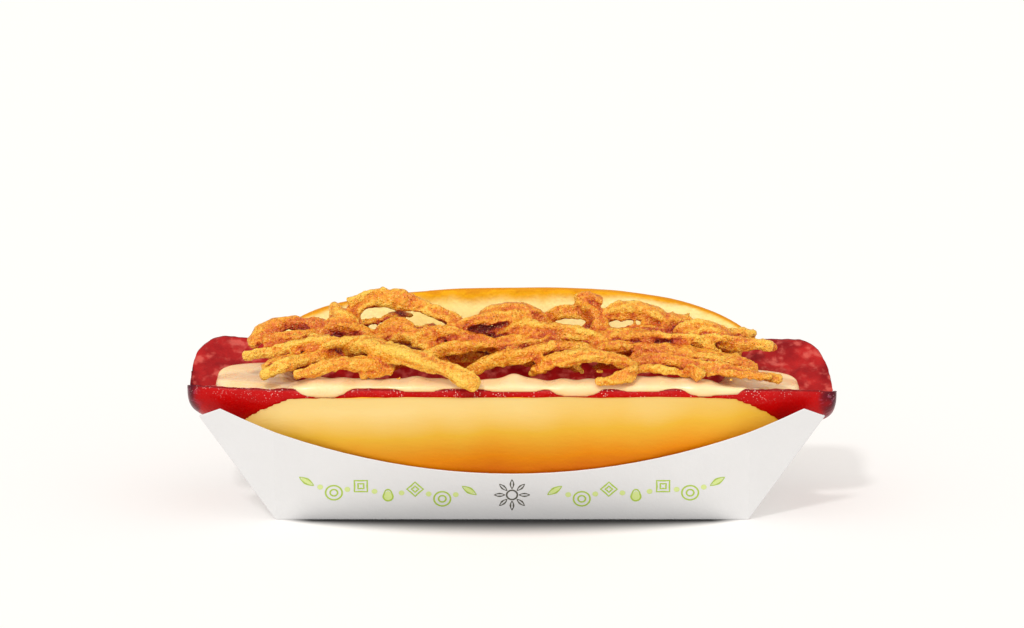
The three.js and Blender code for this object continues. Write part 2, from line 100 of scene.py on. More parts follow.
def smoothstep(value: float | Points, low: float, high: float) -> float | Points:
    """Return 0 below low, 1 above high and an S curve between them."""
    share = np.clip((value - low) / (high - low), 0, 1)
    return share * share * (3 - 2 * share)


def station(share: float | Points, half_length: float) -> float | Points:
    """Return x for a share from -1 to 1, with stations drawn towards both ends."""
    return half_length * np.sin(share * math.pi / 2)


def end_taper(x: float | Points, half_length: float, bluntness: float | Points) -> float | Points:
    """Return how much of a section is left at x on a body with superellipse ends."""
    share = np.minimum(np.abs(x) / half_length, 1)
    return (1 - share**bluntness) ** (1 / bluntness)


def unevenness(points: Points, wavelength: float, amount: float) -> Points:
    """Return smooth offsets, sines of the place, for hand-made and fried surfaces."""
    k = 2 * math.pi / wavelength
    x, y, z = points[:, 0], points[:, 1], points[:, 2]
    offsets = np.stack(
        [
            np.sin(k * (y + 0.7 * z)) + np.sin(k * (1.7 * z - 0.6 * x)),
            np.sin(k * (z + 0.8 * x)) + np.sin(k * (1.6 * x - 0.7 * y)),
            np.sin(k * (x - 0.9 * y)) + np.sin(k * (1.5 * y + 0.5 * z)),
        ],
        axis=1,
    )
    return offsets * amount / 2


def smooth_noise(points: Points, wavelength: float, seed: float = 0) -> Points:
    """Return noise from about -1 to 1 at each point, in millimetres, with lumps of a wavelength."""
    shifted = points / wavelength + seed
    return np.array([noise.noise(Vector(p)) for p in shifted])


def hump(x: float | Points, middle: float, half_width: float) -> float | Points:
    """Return 1 at the middle of a smooth hump and 0 beyond its half width."""
    return 1 - smoothstep(np.abs(x - middle) / half_width, 0, 1)


def eased(values: Points, reach: int, axis: int = 0) -> Points:
    """Return rows of values that close on themselves, averaged over neighbours within a reach."""
    weights = np.hanning(2 * reach + 3)[1:-1]
    weights /= weights.sum()
    return sum(w * np.roll(values, shift, axis) for w, shift in zip(weights, range(-reach, reach + 1)))


def catmull_rom(knots: Points, closed: bool, per_span: int) -> Points:
    """Return a smooth curve through knots.

    Args:
        knots: the points that the curve passes through, one a row.
        closed: whether the curve returns to its first knot.
        per_span: how many points each span between two knots gets.

    Returns:
        The curve's points, one a row.
    """
    if closed:
        padded = np.vstack([knots[-1:], knots, knots[:2]])
    else:
        padded = np.vstack([2 * knots[0] - knots[1], knots, 2 * knots[-1] - knots[-2]])
    curve = []
    for before, start, end, after in zip(padded, padded[1:], padded[2:], padded[3:]):
        steps = [np.linalg.norm(b - a) ** 0.5 for a, b in ((before, start), (start, end), (end, after))]
        t0, t1, t2, t3 = np.cumsum([0.0, *steps])
        for share in range(per_span):
            t = blend(t1, t2, share / per_span)
            a1 = blend(before, start, (t - t0) / (t1 - t0))
            a2 = blend(start, end, (t - t1) / (t2 - t1))
            a3 = blend(end, after, (t - t2) / (t3 - t2))
            b1 = blend(a1, a2, (t - t0) / (t2 - t0))
            b2 = blend(a2, a3, (t - t1) / (t3 - t1))
            curve.append(blend(b1, b2, (t - t1) / (t2 - t1)))
    if not closed:
        curve.append(knots[-1])
    return np.array(curve)


def even_points(curve: Points, shares: Points, closed: bool = False) -> Points:
    """Return points at shares of a curve's length, from 0 to 1."""
    line = np.vstack([curve, curve[:1]]) if closed else curve
    lengths = np.concatenate([[0], np.cumsum(np.linalg.norm(np.diff(line, axis=0), axis=1))])
    wanted = shares * lengths[-1]
    return np.stack([np.interp(wanted, lengths, line[:, axis]) for axis in range(line.shape[1])], axis=1)


def part_shift() -> float:
    """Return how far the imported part's middle plane lies from y = 0, in millimetres."""
    low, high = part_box("card_tray")
    return (low.y + high.y) / 2 / MM


SHIFT = part_shift()


# Meshes by operator


def deselect_all() -> None:
    """Deselect every object."""
    bpy.ops.object.select_all(action="DESELECT")


def make_active(piece: bpy.types.Object) -> None:
    """Select one object alone and make it the active one."""
    deselect_all()
    piece.select_set(True)
    bpy.context.view_layer.objects.active = piece


def read_points(piece: bpy.types.Object) -> Points:
    """Return a mesh's vertices in millimetres, one a row."""
    flat = np.empty(len(piece.data.vertices) * 3, np.float32)
    piece.data.vertices.foreach_get("co", flat)
    return flat.reshape(-1, 3).astype(float) / MM


def write_points(piece: bpy.types.Object, points: Points) -> None:
    """Move a mesh's vertices to places in millimetres."""
    piece.data.vertices.foreach_set("co", (points * MM).astype(np.float32).ravel())
    piece.data.update()


def read_normals(piece: bpy.types.Object) -> Points:
    """Return a mesh's vertex normals, one a row."""
    flat = np.empty(len(piece.data.vertices) * 3, np.float32)
    piece.data.vertex_normals.foreach_get("vector", flat)
    return flat.reshape(-1, 3).astype(float)


def set_layer(piece: bpy.types.Object, layer: Layer, values: Points) -> None:
    """Store one number a vertex for the piece's finish to read."""
    attribute = piece.data.attributes.new(layer.value, "FLOAT", "POINT")
    attribute.data.foreach_set("value", values.astype(np.float32))


def grid_piece(name: str, columns: int, rows: int, place: Callable[[Points, Points], Points]) -> bpy.types.Object:
    """Add a grid and move each of its vertices.

    Args:
        name: the piece's name.
        columns: faces along the first direction.
        rows: faces along the second direction.
        place: gives the places in millimetres of shares from 0 to 1 along both directions.

    Returns:
        The new piece.
    """
    deselect_all()
    bpy.ops.mesh.primitive_grid_add(x_subdivisions=columns, y_subdivisions=rows, size=2 * MM)
    piece = bpy.context.active_object
    piece.name = name
    flat = read_points(piece)
    write_points(piece, place((flat[:, 0] + 1) / 2, (flat[:, 1] + 1) / 2))
    return piece


def close_tube(piece: bpy.types.Object) -> None:
    """Weld a sheet that was rolled into a tube, fill its ends and point its faces outwards."""
    make_active(piece)
    bpy.ops.object.mode_set(mode="EDIT")
    bpy.ops.mesh.select_all(action="SELECT")
    bpy.ops.mesh.remove_doubles(threshold=0.002 * MM)
    bpy.ops.mesh.fill_holes(sides=0)
    bpy.ops.mesh.normals_make_consistent(inside=False)
    bpy.ops.object.mode_set(mode="OBJECT")


def apply_modifier(piece: bpy.types.Object, kind: str, **settings: object) -> None:
    """Add a modifier with settings and apply it."""
    make_active(piece)
    modifier = piece.modifiers.new(kind.lower(), kind)
    for name, value in settings.items():
        setattr(modifier, name, value)
    bpy.ops.object.modifier_apply(modifier=modifier.name)


def cut_away(piece: bpy.types.Object, cutter: bpy.types.Object) -> None:
    """Take a cutter's volume out of a piece."""
    apply_modifier(piece, "BOOLEAN", operation="DIFFERENCE", solver="EXACT", object=cutter)


def even_skin(piece: bpy.types.Object, size: float, rounds: int) -> None:
    """Give a piece an even skin of small faces.

    Args:
        piece: a closed mesh.
        size: the faces' size in millimetres.
        rounds: how many times the new skin is smoothed.
    """
    apply_modifier(piece, "REMESH", mode="VOXEL", voxel_size=size * MM)
    apply_modifier(piece, "SMOOTH", factor=0.5, iterations=rounds)


def push_out(piece: bpy.types.Object, amounts: Points) -> None:
    """Move each vertex along its normal by millimetres."""
    write_points(piece, read_points(piece) + read_normals(piece) * amounts[:, None])


def distance_from(points: Points, target: bpy.types.Object) -> Points:
    """Return each point's distance in millimetres from a mesh's surface."""
    tree = BVHTree.FromObject(target, bpy.context.evaluated_depsgraph_get())
    return np.array([tree.find_nearest(Vector(p))[3] for p in points * MM]) / MM


def hidden_share(piece: bpy.types.Object, reach: float) -> Points:
    """Return how much of the room round each vertex is taken by the piece itself.

    Args:
        piece: the mesh.
        reach: how far is looked, in millimetres.

    Returns:
        A share from 0 in the open to 1 in a crevice, for each vertex.
    """
    tree = BVHTree.FromObject(piece, bpy.context.evaluated_depsgraph_get())
    corners = [Vector((x, y, z)).normalized() for x in (-1, 1) for y in (-1, 1) for z in (-1, 1)]
    ways = corners + [Vector(axis) for axis in ((1, 0, 0), (-1, 0, 0), (0, 1, 0), (0, -1, 0), (0, 0, 1), (0, 0, -1))]
    shares = []
    for point, normal in zip(read_points(piece) * MM, read_normals(piece)):
        out = Vector(normal)
        start = Vector(point) + out * 0.15 * MM
        open_ways = [way for way in ways if way.dot(out) > 0.2]
        hits = sum(tree.ray_cast(start, way, reach * MM)[0] is not None for way in open_ways)
        shares.append(hits / max(len(open_ways), 1))
    return np.array(shares)


def join(name: str, pieces: Sequence[bpy.types.Object]) -> bpy.types.Object:
    """Join meshes into one piece."""
    make_active(pieces[0])
    for piece in pieces:
        piece.select_set(True)
    bpy.ops.object.join()
    joined = bpy.context.active_object
    joined.name = name
    return joined


def duplicate(piece: bpy.types.Object, name: str) -> bpy.types.Object:
    """Return a copy of a piece with a mesh of its own."""
    make_active(piece)
    bpy.ops.object.duplicate()
    copy = bpy.context.active_object
    copy.name = name
    return copy


def remove(piece: bpy.types.Object) -> None:
    """Delete a helper mesh."""
    make_active(piece)
    bpy.ops.object.delete()


def dress(piece: bpy.types.Object, material: bpy.types.Material, slot: Slot, *nodes: str) -> None:
    """Finish a piece.

    Args:
        piece: the piece, in its place.
        material: its finish.
        slot: not used; the record's slot that the finish stands for.
        nodes: the solids that the piece is shown for.
    """
    make_active(piece)
    bpy.ops.object.shade_smooth()
    piece.data.materials.clear()
    piece.data.materials.append(material)
    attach(piece, "root")
    if nodes:
        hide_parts(*nodes)
    LOG.info("%s: %d faces", piece.name, len(piece.data.polygons))


# Shader trees


def paint(red: float, green: float, blue: float) -> tuple[float, float, float, float]:
    """Return a colour given in screen values from 0 to 255 as the shader's linear one."""
    channels = [c / 255 for c in (red, green, blue)]
    linear = [c / 12.92 if c <= 0.04045 else ((c + 0.055) / 1.055) ** 2.4 for c in channels]
    return (*linear, 1.0)


def add_node(
    tree: bpy.types.NodeTree, kind: str, inputs: dict[str | int, object] | None = None, **settings: object
) -> bpy.types.Node:
    """Add a node to a tree.

    Args:
        tree: a material's or a group's tree.
        kind: the node's type.
        inputs: a number, colour or other node's socket for each of its own sockets.
        settings: the node's settings.

    Returns:
        The new node.
    """
    node = tree.nodes.new(kind)
    for name, value in settings.items():
        setattr(node, name, value)
    for name, value in (inputs or {}).items():
        if isinstance(value, bpy.types.NodeSocket):
            tree.links.new(value, node.inputs[name])
        else:
            node.inputs[name].default_value = value
    return node


def math_node(tree: bpy.types.NodeTree, operation: str, *values: object) -> Socket:
    """Add a Math node and return its result."""
    return add_node(tree, "ShaderNodeMath", dict(enumerate(values)), operation=operation).outputs[0]


def ranged(tree: bpy.types.NodeTree, value: Socket, low: float, high: float, to: tuple = (0, 1)) -> Socket:
    """Add a smooth step that takes low..high to a new range, and return its result."""
    inputs = {"Value": value, "From Min": low, "From Max": high, "To Min": to[0], "To Max": to[1]}
    step = add_node(tree, "ShaderNodeMapRange", inputs, interpolation_type="SMOOTHSTEP")
    return step.outputs["Result"]


def mixed(tree: bpy.types.NodeTree, share: object, first: object, second: object, how: str = "MIX") -> Socket:
    """Add a colour mix and return its result."""
    inputs = {0: share, 6: first, 7: second}
    return add_node(tree, "ShaderNodeMix", inputs, data_type="RGBA", blend_type=how).outputs[2]


def ramp(tree: bpy.types.NodeTree, value: Socket, stops: Sequence[tuple[float, tuple]]) -> Socket:
    """Add a colour ramp with its stops and return its colour."""
    node = add_node(tree, "ShaderNodeValToRGB", {"Fac": value})
    elements = node.color_ramp.elements
    while len(elements) < len(stops):
        elements.new(0.5)
    for element, (position, colour) in zip(elements, stops):
        element.position = position
        element.color = colour
    return node.outputs["Color"]


def layer_value(tree: bpy.types.NodeTree, layer: Layer) -> Socket:
    """Return a piece's stored number."""
    return add_node(tree, "ShaderNodeAttribute", attribute_name=layer.value).outputs["Fac"]


def object_place(tree: bpy.types.NodeTree) -> Socket:
    """Return the place on the piece, in metres."""
    return add_node(tree, "ShaderNodeTexCoord").outputs["Object"]


class Effects:
    """Shader node groups that several finishes use, each built once."""

    def __init__(self) -> None:
        """Build the groups."""
        self.patches = self._patches()
        self.specks = self._specks()
        self.pores = self._pores()

    def _group(self, name: str, inputs: dict[str, tuple[str, object]], outputs: dict[str, str]) -> tuple:
        """Start a group.

        Args:
            name: the group's name.
            inputs: each input's socket type and default value.
            outputs: each output's socket type.

        Returns:
            The tree, its input node and its output node.
        """
        tree = bpy.data.node_groups.new(name, "ShaderNodeTree")
        for label, (kind, default) in inputs.items():
            socket = tree.interface.new_socket(label, in_out="INPUT", socket_type=kind)
            if default is not None:
                socket.default_value = default
        for label, kind in outputs.items():
            tree.interface.new_socket(label, in_out="OUTPUT", socket_type=kind)
        return tree, tree.nodes.new("NodeGroupInput"), tree.nodes.new("NodeGroupOutput")

    def _patches(self) -> bpy.types.NodeTree:
        """Return soft patches of a size in metres, as a mask of a contrast."""
        inputs = {
            "Vector": ("NodeSocketVector", None),
            "Size": ("NodeSocketFloat", 0.01),
            "Detail": ("NodeSocketFloat", 3.0),
            "Contrast": ("NodeSocketFloat", 2.0),
        }
        tree, entry, leave = self._group("soft patches", inputs, {"Mask": "NodeSocketFloat"})
        scale = math_node(tree, "DIVIDE", 1.0, entry.outputs["Size"])
        texture = {"Vector": entry.outputs["Vector"], "Scale": scale, "Detail": entry.outputs["Detail"]}
        cloud = add_node(tree, "ShaderNodeTexNoise", texture)
        centred = math_node(tree, "SUBTRACT", cloud.outputs["Fac"], 0.5)
        spread = math_node(tree, "MULTIPLY", centred, entry.outputs["Contrast"])
        add = add_node(tree, "ShaderNodeMath", {0: spread, 1: 0.5}, operation="ADD", use_clamp=True)
        tree.links.new(add.outputs[0], leave.inputs["Mask"])
        return tree

    def _specks(self) -> bpy.types.NodeTree:
        """Return small round specks a spacing apart in metres, of which only a share shows."""
        inputs = {
            "Vector": ("NodeSocketVector", None),
            "Spacing": ("NodeSocketFloat", 0.002),
            "Radius": ("NodeSocketFloat", 0.2),
            "Share": ("NodeSocketFloat", 0.3),
        }
        tree, entry, leave = self._group("specks", inputs, {"Mask": "NodeSocketFloat"})
        scale = math_node(tree, "DIVIDE", 1.0, entry.outputs["Spacing"])
        cells = add_node(tree, "ShaderNodeTexVoronoi", {"Vector": entry.outputs["Vector"], "Scale": scale})
        draw = add_node(tree, "ShaderNodeSeparateColor", {"Color": cells.outputs["Color"]}).outputs[0]
        chosen = math_node(tree, "LESS_THAN", draw, entry.outputs["Share"])
        inner = math_node(tree, "MULTIPLY", entry.outputs["Radius"], 0.6)
        step_inputs = {"Value": cells.outputs["Distance"], "From Min": entry.outputs["Radius"], "From Max": inner}
        spot = add_node(tree, "ShaderNodeMapRange", step_inputs).outputs["Result"]
        tree.links.new(math_node(tree, "MULTIPLY", spot, chosen), leave.inputs["Mask"])
        return tree

    def _pores(self) -> bpy.types.NodeTree:
        """Return the height of a crumb or batter surface with open cells of a size in metres."""
        inputs = {
            "Vector": ("NodeSocketVector", None),
            "Size": ("NodeSocketFloat", 0.001),
            "Warp": ("NodeSocketFloat", 0.5),
        }
        tree, entry, leave = self._group("open pores", inputs, {"Height": "NodeSocketFloat"})
        scale = math_node(tree, "DIVIDE", 1.0, entry.outputs["Size"])
        cloud = add_node(tree, "ShaderNodeTexNoise", {"Vector": entry.outputs["Vector"], "Scale": scale})
        push = math_node(tree, "MULTIPLY", entry.outputs["Warp"], entry.outputs["Size"])
        offset = add_node(tree, "ShaderNodeVectorMath", {0: cloud.outputs["Color"], 3: push}, operation="SCALE")
        moved_inputs = {0: entry.outputs["Vector"], 1: offset.outputs[0]}
        moved = add_node(tree, "ShaderNodeVectorMath", moved_inputs, operation="ADD")
        cells = add_node(tree, "ShaderNodeTexVoronoi", {"Vector": moved.outputs[0], "Scale": scale})
        small = math_node(tree, "MULTIPLY", cloud.outputs["Fac"], 0.6)
        height = math_node(tree, "ADD", cells.outputs["Distance"], small)
        tree.links.new(height, leave.inputs["Height"])
        return tree


EFFECTS = Effects()


def effect(tree: bpy.types.NodeTree, group: bpy.types.NodeTree, **inputs: object) -> Socket:
    """Place a shared group in a tree and return its first output."""
    node = tree.nodes.new("ShaderNodeGroup")
    node.node_tree = group
    for name, value in inputs.items():
        if isinstance(value, bpy.types.NodeSocket):
            tree.links.new(value, node.inputs[name])
        else:
            node.inputs[name].default_value = value
    return node.outputs[0]


def bump(tree: bpy.types.NodeTree, height: Socket, depth: float, under: Socket | None = None) -> Socket:
    """Return the normal of a relief.

    Args:
        tree: the material's tree.
        height: the relief's height from 0 to 1.
        depth: the relief's depth in millimetres.
        under: the normal of a coarser relief that it lies on.

    Returns:
        The normal for the shader.
    """
    inputs = {"Height": height, "Distance": depth * MM, "Strength": 1.0}
    if under is not None:
        inputs["Normal"] = under
    return add_node(tree, "ShaderNodeBump", inputs).outputs["Normal"]


def shader(name: str) -> tuple[bpy.types.Material, bpy.types.NodeTree, bpy.types.Node]:
    """Start a material and return it, its tree and its Principled shader."""
    material = bpy.data.materials.new(name)
    material.use_nodes = True
    tree = material.node_tree
    return material, tree, tree.nodes["Principled BSDF"]


def wire(tree: bpy.types.NodeTree, principled: bpy.types.Node, **links: Socket) -> None:
    """Link sockets to the shader, with spaces in its socket names written as underscores."""
    for name, socket in links.items():
        tree.links.new(socket, principled.inputs[name.replace("_", " ")])


# Finishes


@dataclass(frozen=True)
class CardFinish:
    """White card with faint fibres."""

    bright: tuple = paint(212, 212, 212)
    shade: tuple = paint(208, 208, 208)
    fibre: float = 1.1
    relief: float = 0.02

    def material(self) -> bpy.types.Material:
        """Return the card's material."""
        material, tree, principled = shader("white card")
        place = object_place(tree)
        clouds = effect(tree, EFFECTS.patches, Vector=place, Size=9 * MM, Contrast=1.6)
        fibres = effect(tree, EFFECTS.patches, Vector=place, Size=self.fibre * MM, Detail=5.0, Contrast=2.0)
        colour = mixed(tree, clouds, self.bright, self.shade)
        colour = mixed(tree, math_node(tree, "MULTIPLY", fibres, 0.25), colour, self.shade)
        rough = ranged(tree, fibres, 0, 1, (0.5, 0.62))
        wire(tree, principled, Base_Color=colour, Roughness=rough, Normal=bump(tree, fibres, self.relief))
        return material


@dataclass(frozen=True)
class PrintFinish:
    """Printed ink that lets a little of the card through."""

    name: str
    ink: tuple
    thin: tuple

    def material(self) -> bpy.types.Material:
        """Return the ink's material."""
        material, tree, principled = shader(self.name)
        place = object_place(tree)
        wear = effect(tree, EFFECTS.patches, Vector=place, Size=0.5 * MM, Detail=4.0, Contrast=2.5)
        colour = mixed(tree, math_node(tree, "MULTIPLY", wear, 0.5), self.ink, self.thin)
        wire(tree, principled, Base_Color=colour, Roughness=ranged(tree, wear, 0, 1, (0.45, 0.6)))
        return material


@dataclass(frozen=True)
class BreadFinish:
    """A golden crust, pale high on its front and orange below, partly its own colour and partly painted shade, over
    a smooth cream-yellow crumb.

    The crumb's glow strength is painted light that lifts its shaded cut face.
    """

    pale: tuple = paint(213, 183, 114)
    gold: tuple = paint(208, 160, 46)
    orange: tuple = paint(212, 126, 0)
    deep: tuple = paint(192, 92, 0)
    crown: tuple = paint(206, 132, 10)
    crown_low: tuple = paint(222, 166, 62)
    crumb: tuple = paint(244, 236, 172)
    crumb_warm: tuple = paint(240, 220, 134)
    toast: tuple = paint(220, 158, 14)
    rim: tuple = paint(190, 112, 12)
    crumb_glow: float = 0.2

    def crust(self, tree: bpy.types.NodeTree, place: Socket) -> Socket:
        """Return the crust's colour by height and side; on the front it is partly painted shade, paler high up and
        to the left.

        Args:
            tree: the material's tree.
            place: the place on the roll.

        Returns:
            The crust's colour.
        """
        x, y, z = add_node(tree, "ShaderNodeSeparateXYZ", {0: place}).outputs
        blotch = effect(tree, EFFECTS.patches, Vector=place, Size=22 * MM, Detail=2.0, Contrast=1.5)
        # Partly the crust's own colour and partly painted shade: the front is paler high up and to the left, and
        # deeper orange low down.
        height = ranged(tree, z, 10 * MM, 37 * MM)
        to_right = ranged(tree, x, -60 * MM, 70 * MM, (0.06, -0.2))
        uneven = ranged(tree, blotch, 0, 1, (-0.08, 0.08))
        level = math_node(tree, "ADD", math_node(tree, "ADD", height, to_right), uneven)
        stops = [(0.0, self.deep), (0.22, self.orange), (0.6, self.gold), (0.95, self.pale)]
        front = ramp(tree, level, stops)
        browned = math_node(tree, "ADD", ranged(tree, z, 8 * MM, 50 * MM), ranged(tree, blotch, 0, 1, (-0.3, 0.3)))
        back = mixed(tree, browned, self.crown_low, self.crown)
        return mixed(tree, ranged(tree, y, 4 * MM, 18 * MM), front, back)

    def crumb_colour(self, tree: bpy.types.NodeTree, place: Socket) -> Socket:
        """Return the cut face's colour, toasted towards the crust.

        Args:
            tree: the material's tree.
            place: the place on the roll.

        Returns:
            The cut face's colour.
        """
        toasted = layer_value(tree, Layer.TOAST)
        warm = effect(tree, EFFECTS.patches, Vector=place, Size=11 * MM, Detail=2.0, Contrast=2.2)
        soft = mixed(tree, warm, self.crumb, self.crumb_warm)
        spots = effect(tree, EFFECTS.patches, Vector=place, Size=5 * MM, Detail=3.0, Contrast=2.0)
        browned = math_node(tree, "ADD", toasted, ranged(tree, spots, 0, 1, (-0.16, 0.14)))
        golden = mixed(tree, ranged(tree, browned, 0.0, 0.9), soft, self.toast)
        return mixed(tree, ranged(tree, browned, 0.86, 1.1, (0, 0.7)), golden, self.rim)

    def material(self) -> bpy.types.Material:
        """Return the roll's material."""
        material, tree, principled = shader("soft roll")
        place = object_place(tree)
        inside = ranged(tree, layer_value(tree, Layer.DEPTH), 0.25, 0.9)
        colour = mixed(tree, inside, self.crust(tree, place), self.crumb_colour(tree, place))
        pores = effect(tree, EFFECTS.pores, Vector=place, Size=0.9 * MM)
        drawn = add_node(tree, "ShaderNodeMapping", {"Vector": place, "Scale": (0.3, 1.0, 1.0)}).outputs[0]
        wrinkles = effect(tree, EFFECTS.patches, Vector=drawn, Size=1.5 * MM, Detail=4.0, Contrast=2.0)
        coarse = bump(tree, wrinkles, 0.07)
        normal = bump(tree, math_node(tree, "MULTIPLY", pores, inside), 0.12, coarse)
        principled.inputs["Specular IOR Level"].default_value = 0.14
        principled.inputs["Subsurface Weight"].default_value = 0.15
        principled.inputs["Subsurface Radius"].default_value = (1.0, 0.6, 0.25)
        principled.inputs["Subsurface Scale"].default_value = 1.5 * MM
        # The crumb glows: painted light that lifts its shaded cut face, while the crust does not glow.
        principled.inputs["Emission Strength"].default_value = self.crumb_glow
        glow = mixed(tree, inside, paint(0, 0, 0), colour)
        rough = ranged(tree, inside, 0, 1, (0.5, 0.8))
        wire(tree, principled, Base_Color=colour, Roughness=rough, Normal=normal, Emission_Color=glow)
        return material


@dataclass(frozen=True)
class SausageFinish:
    """A glossy red casing with painted glints along its lip, over a mottled cut face that glows as painted light,
    with dark purple ends.
    """

    casing: tuple = paint(188, 0, 0)
    casing_deep: tuple = paint(166, 0, 1)
    meat: tuple = paint(178, 28, 27)
    meat_deep: tuple = paint(130, 4, 12)
    meat_pale: tuple = paint(214, 100, 88)
    edge: tuple = paint(88, 4, 12)
    end: tuple = paint(74, 6, 24)
    end_streak: tuple = paint(160, 84, 110)
    glint: tuple = paint(255, 226, 216)
    dark: tuple = paint(0, 0, 0)
    # The cut face's emission is painted light that keeps its shaded hollows red, fading towards the ends.
    glow: float = 0.42
    painted_glow_fades: tuple[float, float] = (50, 62)

    def material(self) -> bpy.types.Material:
        """Return the sausage's material."""
        material, tree, principled = shader("split sausage")
        place = object_place(tree)
        face = layer_value(tree, Layer.FACE)
        end = layer_value(tree, Layer.END)
        clouds = effect(tree, EFFECTS.patches, Vector=place, Size=6 * MM, Detail=3.0, Contrast=2.0)
        casing = mixed(tree, clouds, self.casing, self.casing_deep)
        mottle = effect(tree, EFFECTS.patches, Vector=place, Size=7 * MM, Detail=8.0, Contrast=3.6)
        streaks = effect(tree, EFFECTS.patches, Vector=place, Size=3.2 * MM, Detail=9.0, Contrast=3.2)
        meat = mixed(tree, mottle, self.meat, self.meat_deep)
        meat = mixed(tree, ranged(tree, streaks, 0.45, 1.2, (0, 0.7)), meat, self.meat_pale)
        # Painted glow of the cut face, strongest in the middle.
        along = add_node(tree, "ShaderNodeSeparateXYZ", {"Vector": place}).outputs["X"]
        away = math_node(tree, "DIVIDE", math_node(tree, "ABSOLUTE", along), MM)
        painted_glow_share = math_node(tree, "MULTIPLY", face, ranged(tree, away, *self.painted_glow_fades, (1, 0)))
        glow = mixed(tree, painted_glow_share, self.dark, meat)
        colour = mixed(tree, face, casing, meat)
        at_edge = math_node(tree, "MULTIPLY", ranged(tree, face, 0.1, 0.5), ranged(tree, face, 0.5, 0.95, (1, 0)))
        colour = mixed(tree, math_node(tree, "MULTIPLY", at_edge, 0.7), colour, self.edge)
        slanted = add_node(tree, "ShaderNodeMapping", {"Vector": place, "Scale": (0.35, 1.0, 1.0)}).outputs[0]
        lines = effect(tree, EFFECTS.patches, Vector=slanted, Size=1.1 * MM, Detail=3.0, Contrast=4.0)
        purple = mixed(tree, ranged(tree, lines, 0.66, 1.0, (0, 0.45)), self.end, self.end_streak)
        stained = math_node(tree, "MULTIPLY", end, ranged(tree, mottle, 0, 1, (0.75, 1.0)))
        colour = mixed(tree, stained, colour, purple)
        # Painted glints: pale specks in clusters below the front lip stand for highlights.
        dots = effect(tree, EFFECTS.specks, Vector=place, Spacing=0.5 * MM, Radius=0.32, Share=0.7)
        clusters = effect(tree, EFFECTS.patches, Vector=place, Size=7 * MM, Detail=2.0, Contrast=6.0)
        shine = math_node(tree, "MULTIPLY", dots, layer_value(tree, Layer.LIP))
        shine = math_node(tree, "MULTIPLY", shine, ranged(tree, clusters, 0.25, 0.85, (0.08, 0.9)))
        colour = mixed(tree, shine, colour, self.glint)
        rough = ranged(tree, face, 0, 1, (0.3, 0.45))
        grain = effect(tree, EFFECTS.pores, Vector=place, Size=0.7 * MM)
        normal = bump(tree, grain, 0.06)
        normal = bump(tree, math_node(tree, "MULTIPLY", mottle, face), 0.35, normal)
        principled.inputs["Specular IOR Level"].default_value = 0.12
        principled.inputs["Coat Weight"].default_value = 0.03
        principled.inputs["Coat Roughness"].default_value = 0.12
        principled.inputs["Emission Strength"].default_value = self.glow
        wire(tree, principled, Base_Color=colour, Roughness=rough, Normal=normal, Emission_Color=glow)
        return material


@dataclass(frozen=True)
class SauceFinish:
    """A pale, slightly see-through sauce."""

    cream: tuple = paint(247, 214, 168)
    warm: tuple = paint(244, 202, 144)

    def material(self) -> bpy.types.Material:
        """Return the sauce's material."""
        material, tree, principled = shader("pale sauce")
        place = object_place(tree)
        swirl = effect(tree, EFFECTS.patches, Vector=place, Size=6 * MM, Detail=2.0, Contrast=2.0)
        principled.inputs["Specular IOR Level"].default_value = 0.45
        principled.inputs["Subsurface Weight"].default_value = 0.5
        principled.inputs["Subsurface Radius"].default_value = (1.0, 0.7, 0.4)
        principled.inputs["Subsurface Scale"].default_value = 2.0 * MM
        ripple = effect(tree, EFFECTS.patches, Vector=place, Size=5 * MM, Detail=1.0, Contrast=1.5)
        normal = bump(tree, ripple, 0.08)
        rough = ranged(tree, swirl, 0, 1, (0.22, 0.3))
        wire(tree, principled, Base_Color=mixed(tree, swirl, self.cream, self.warm), Roughness=rough, Normal=normal)
        return material


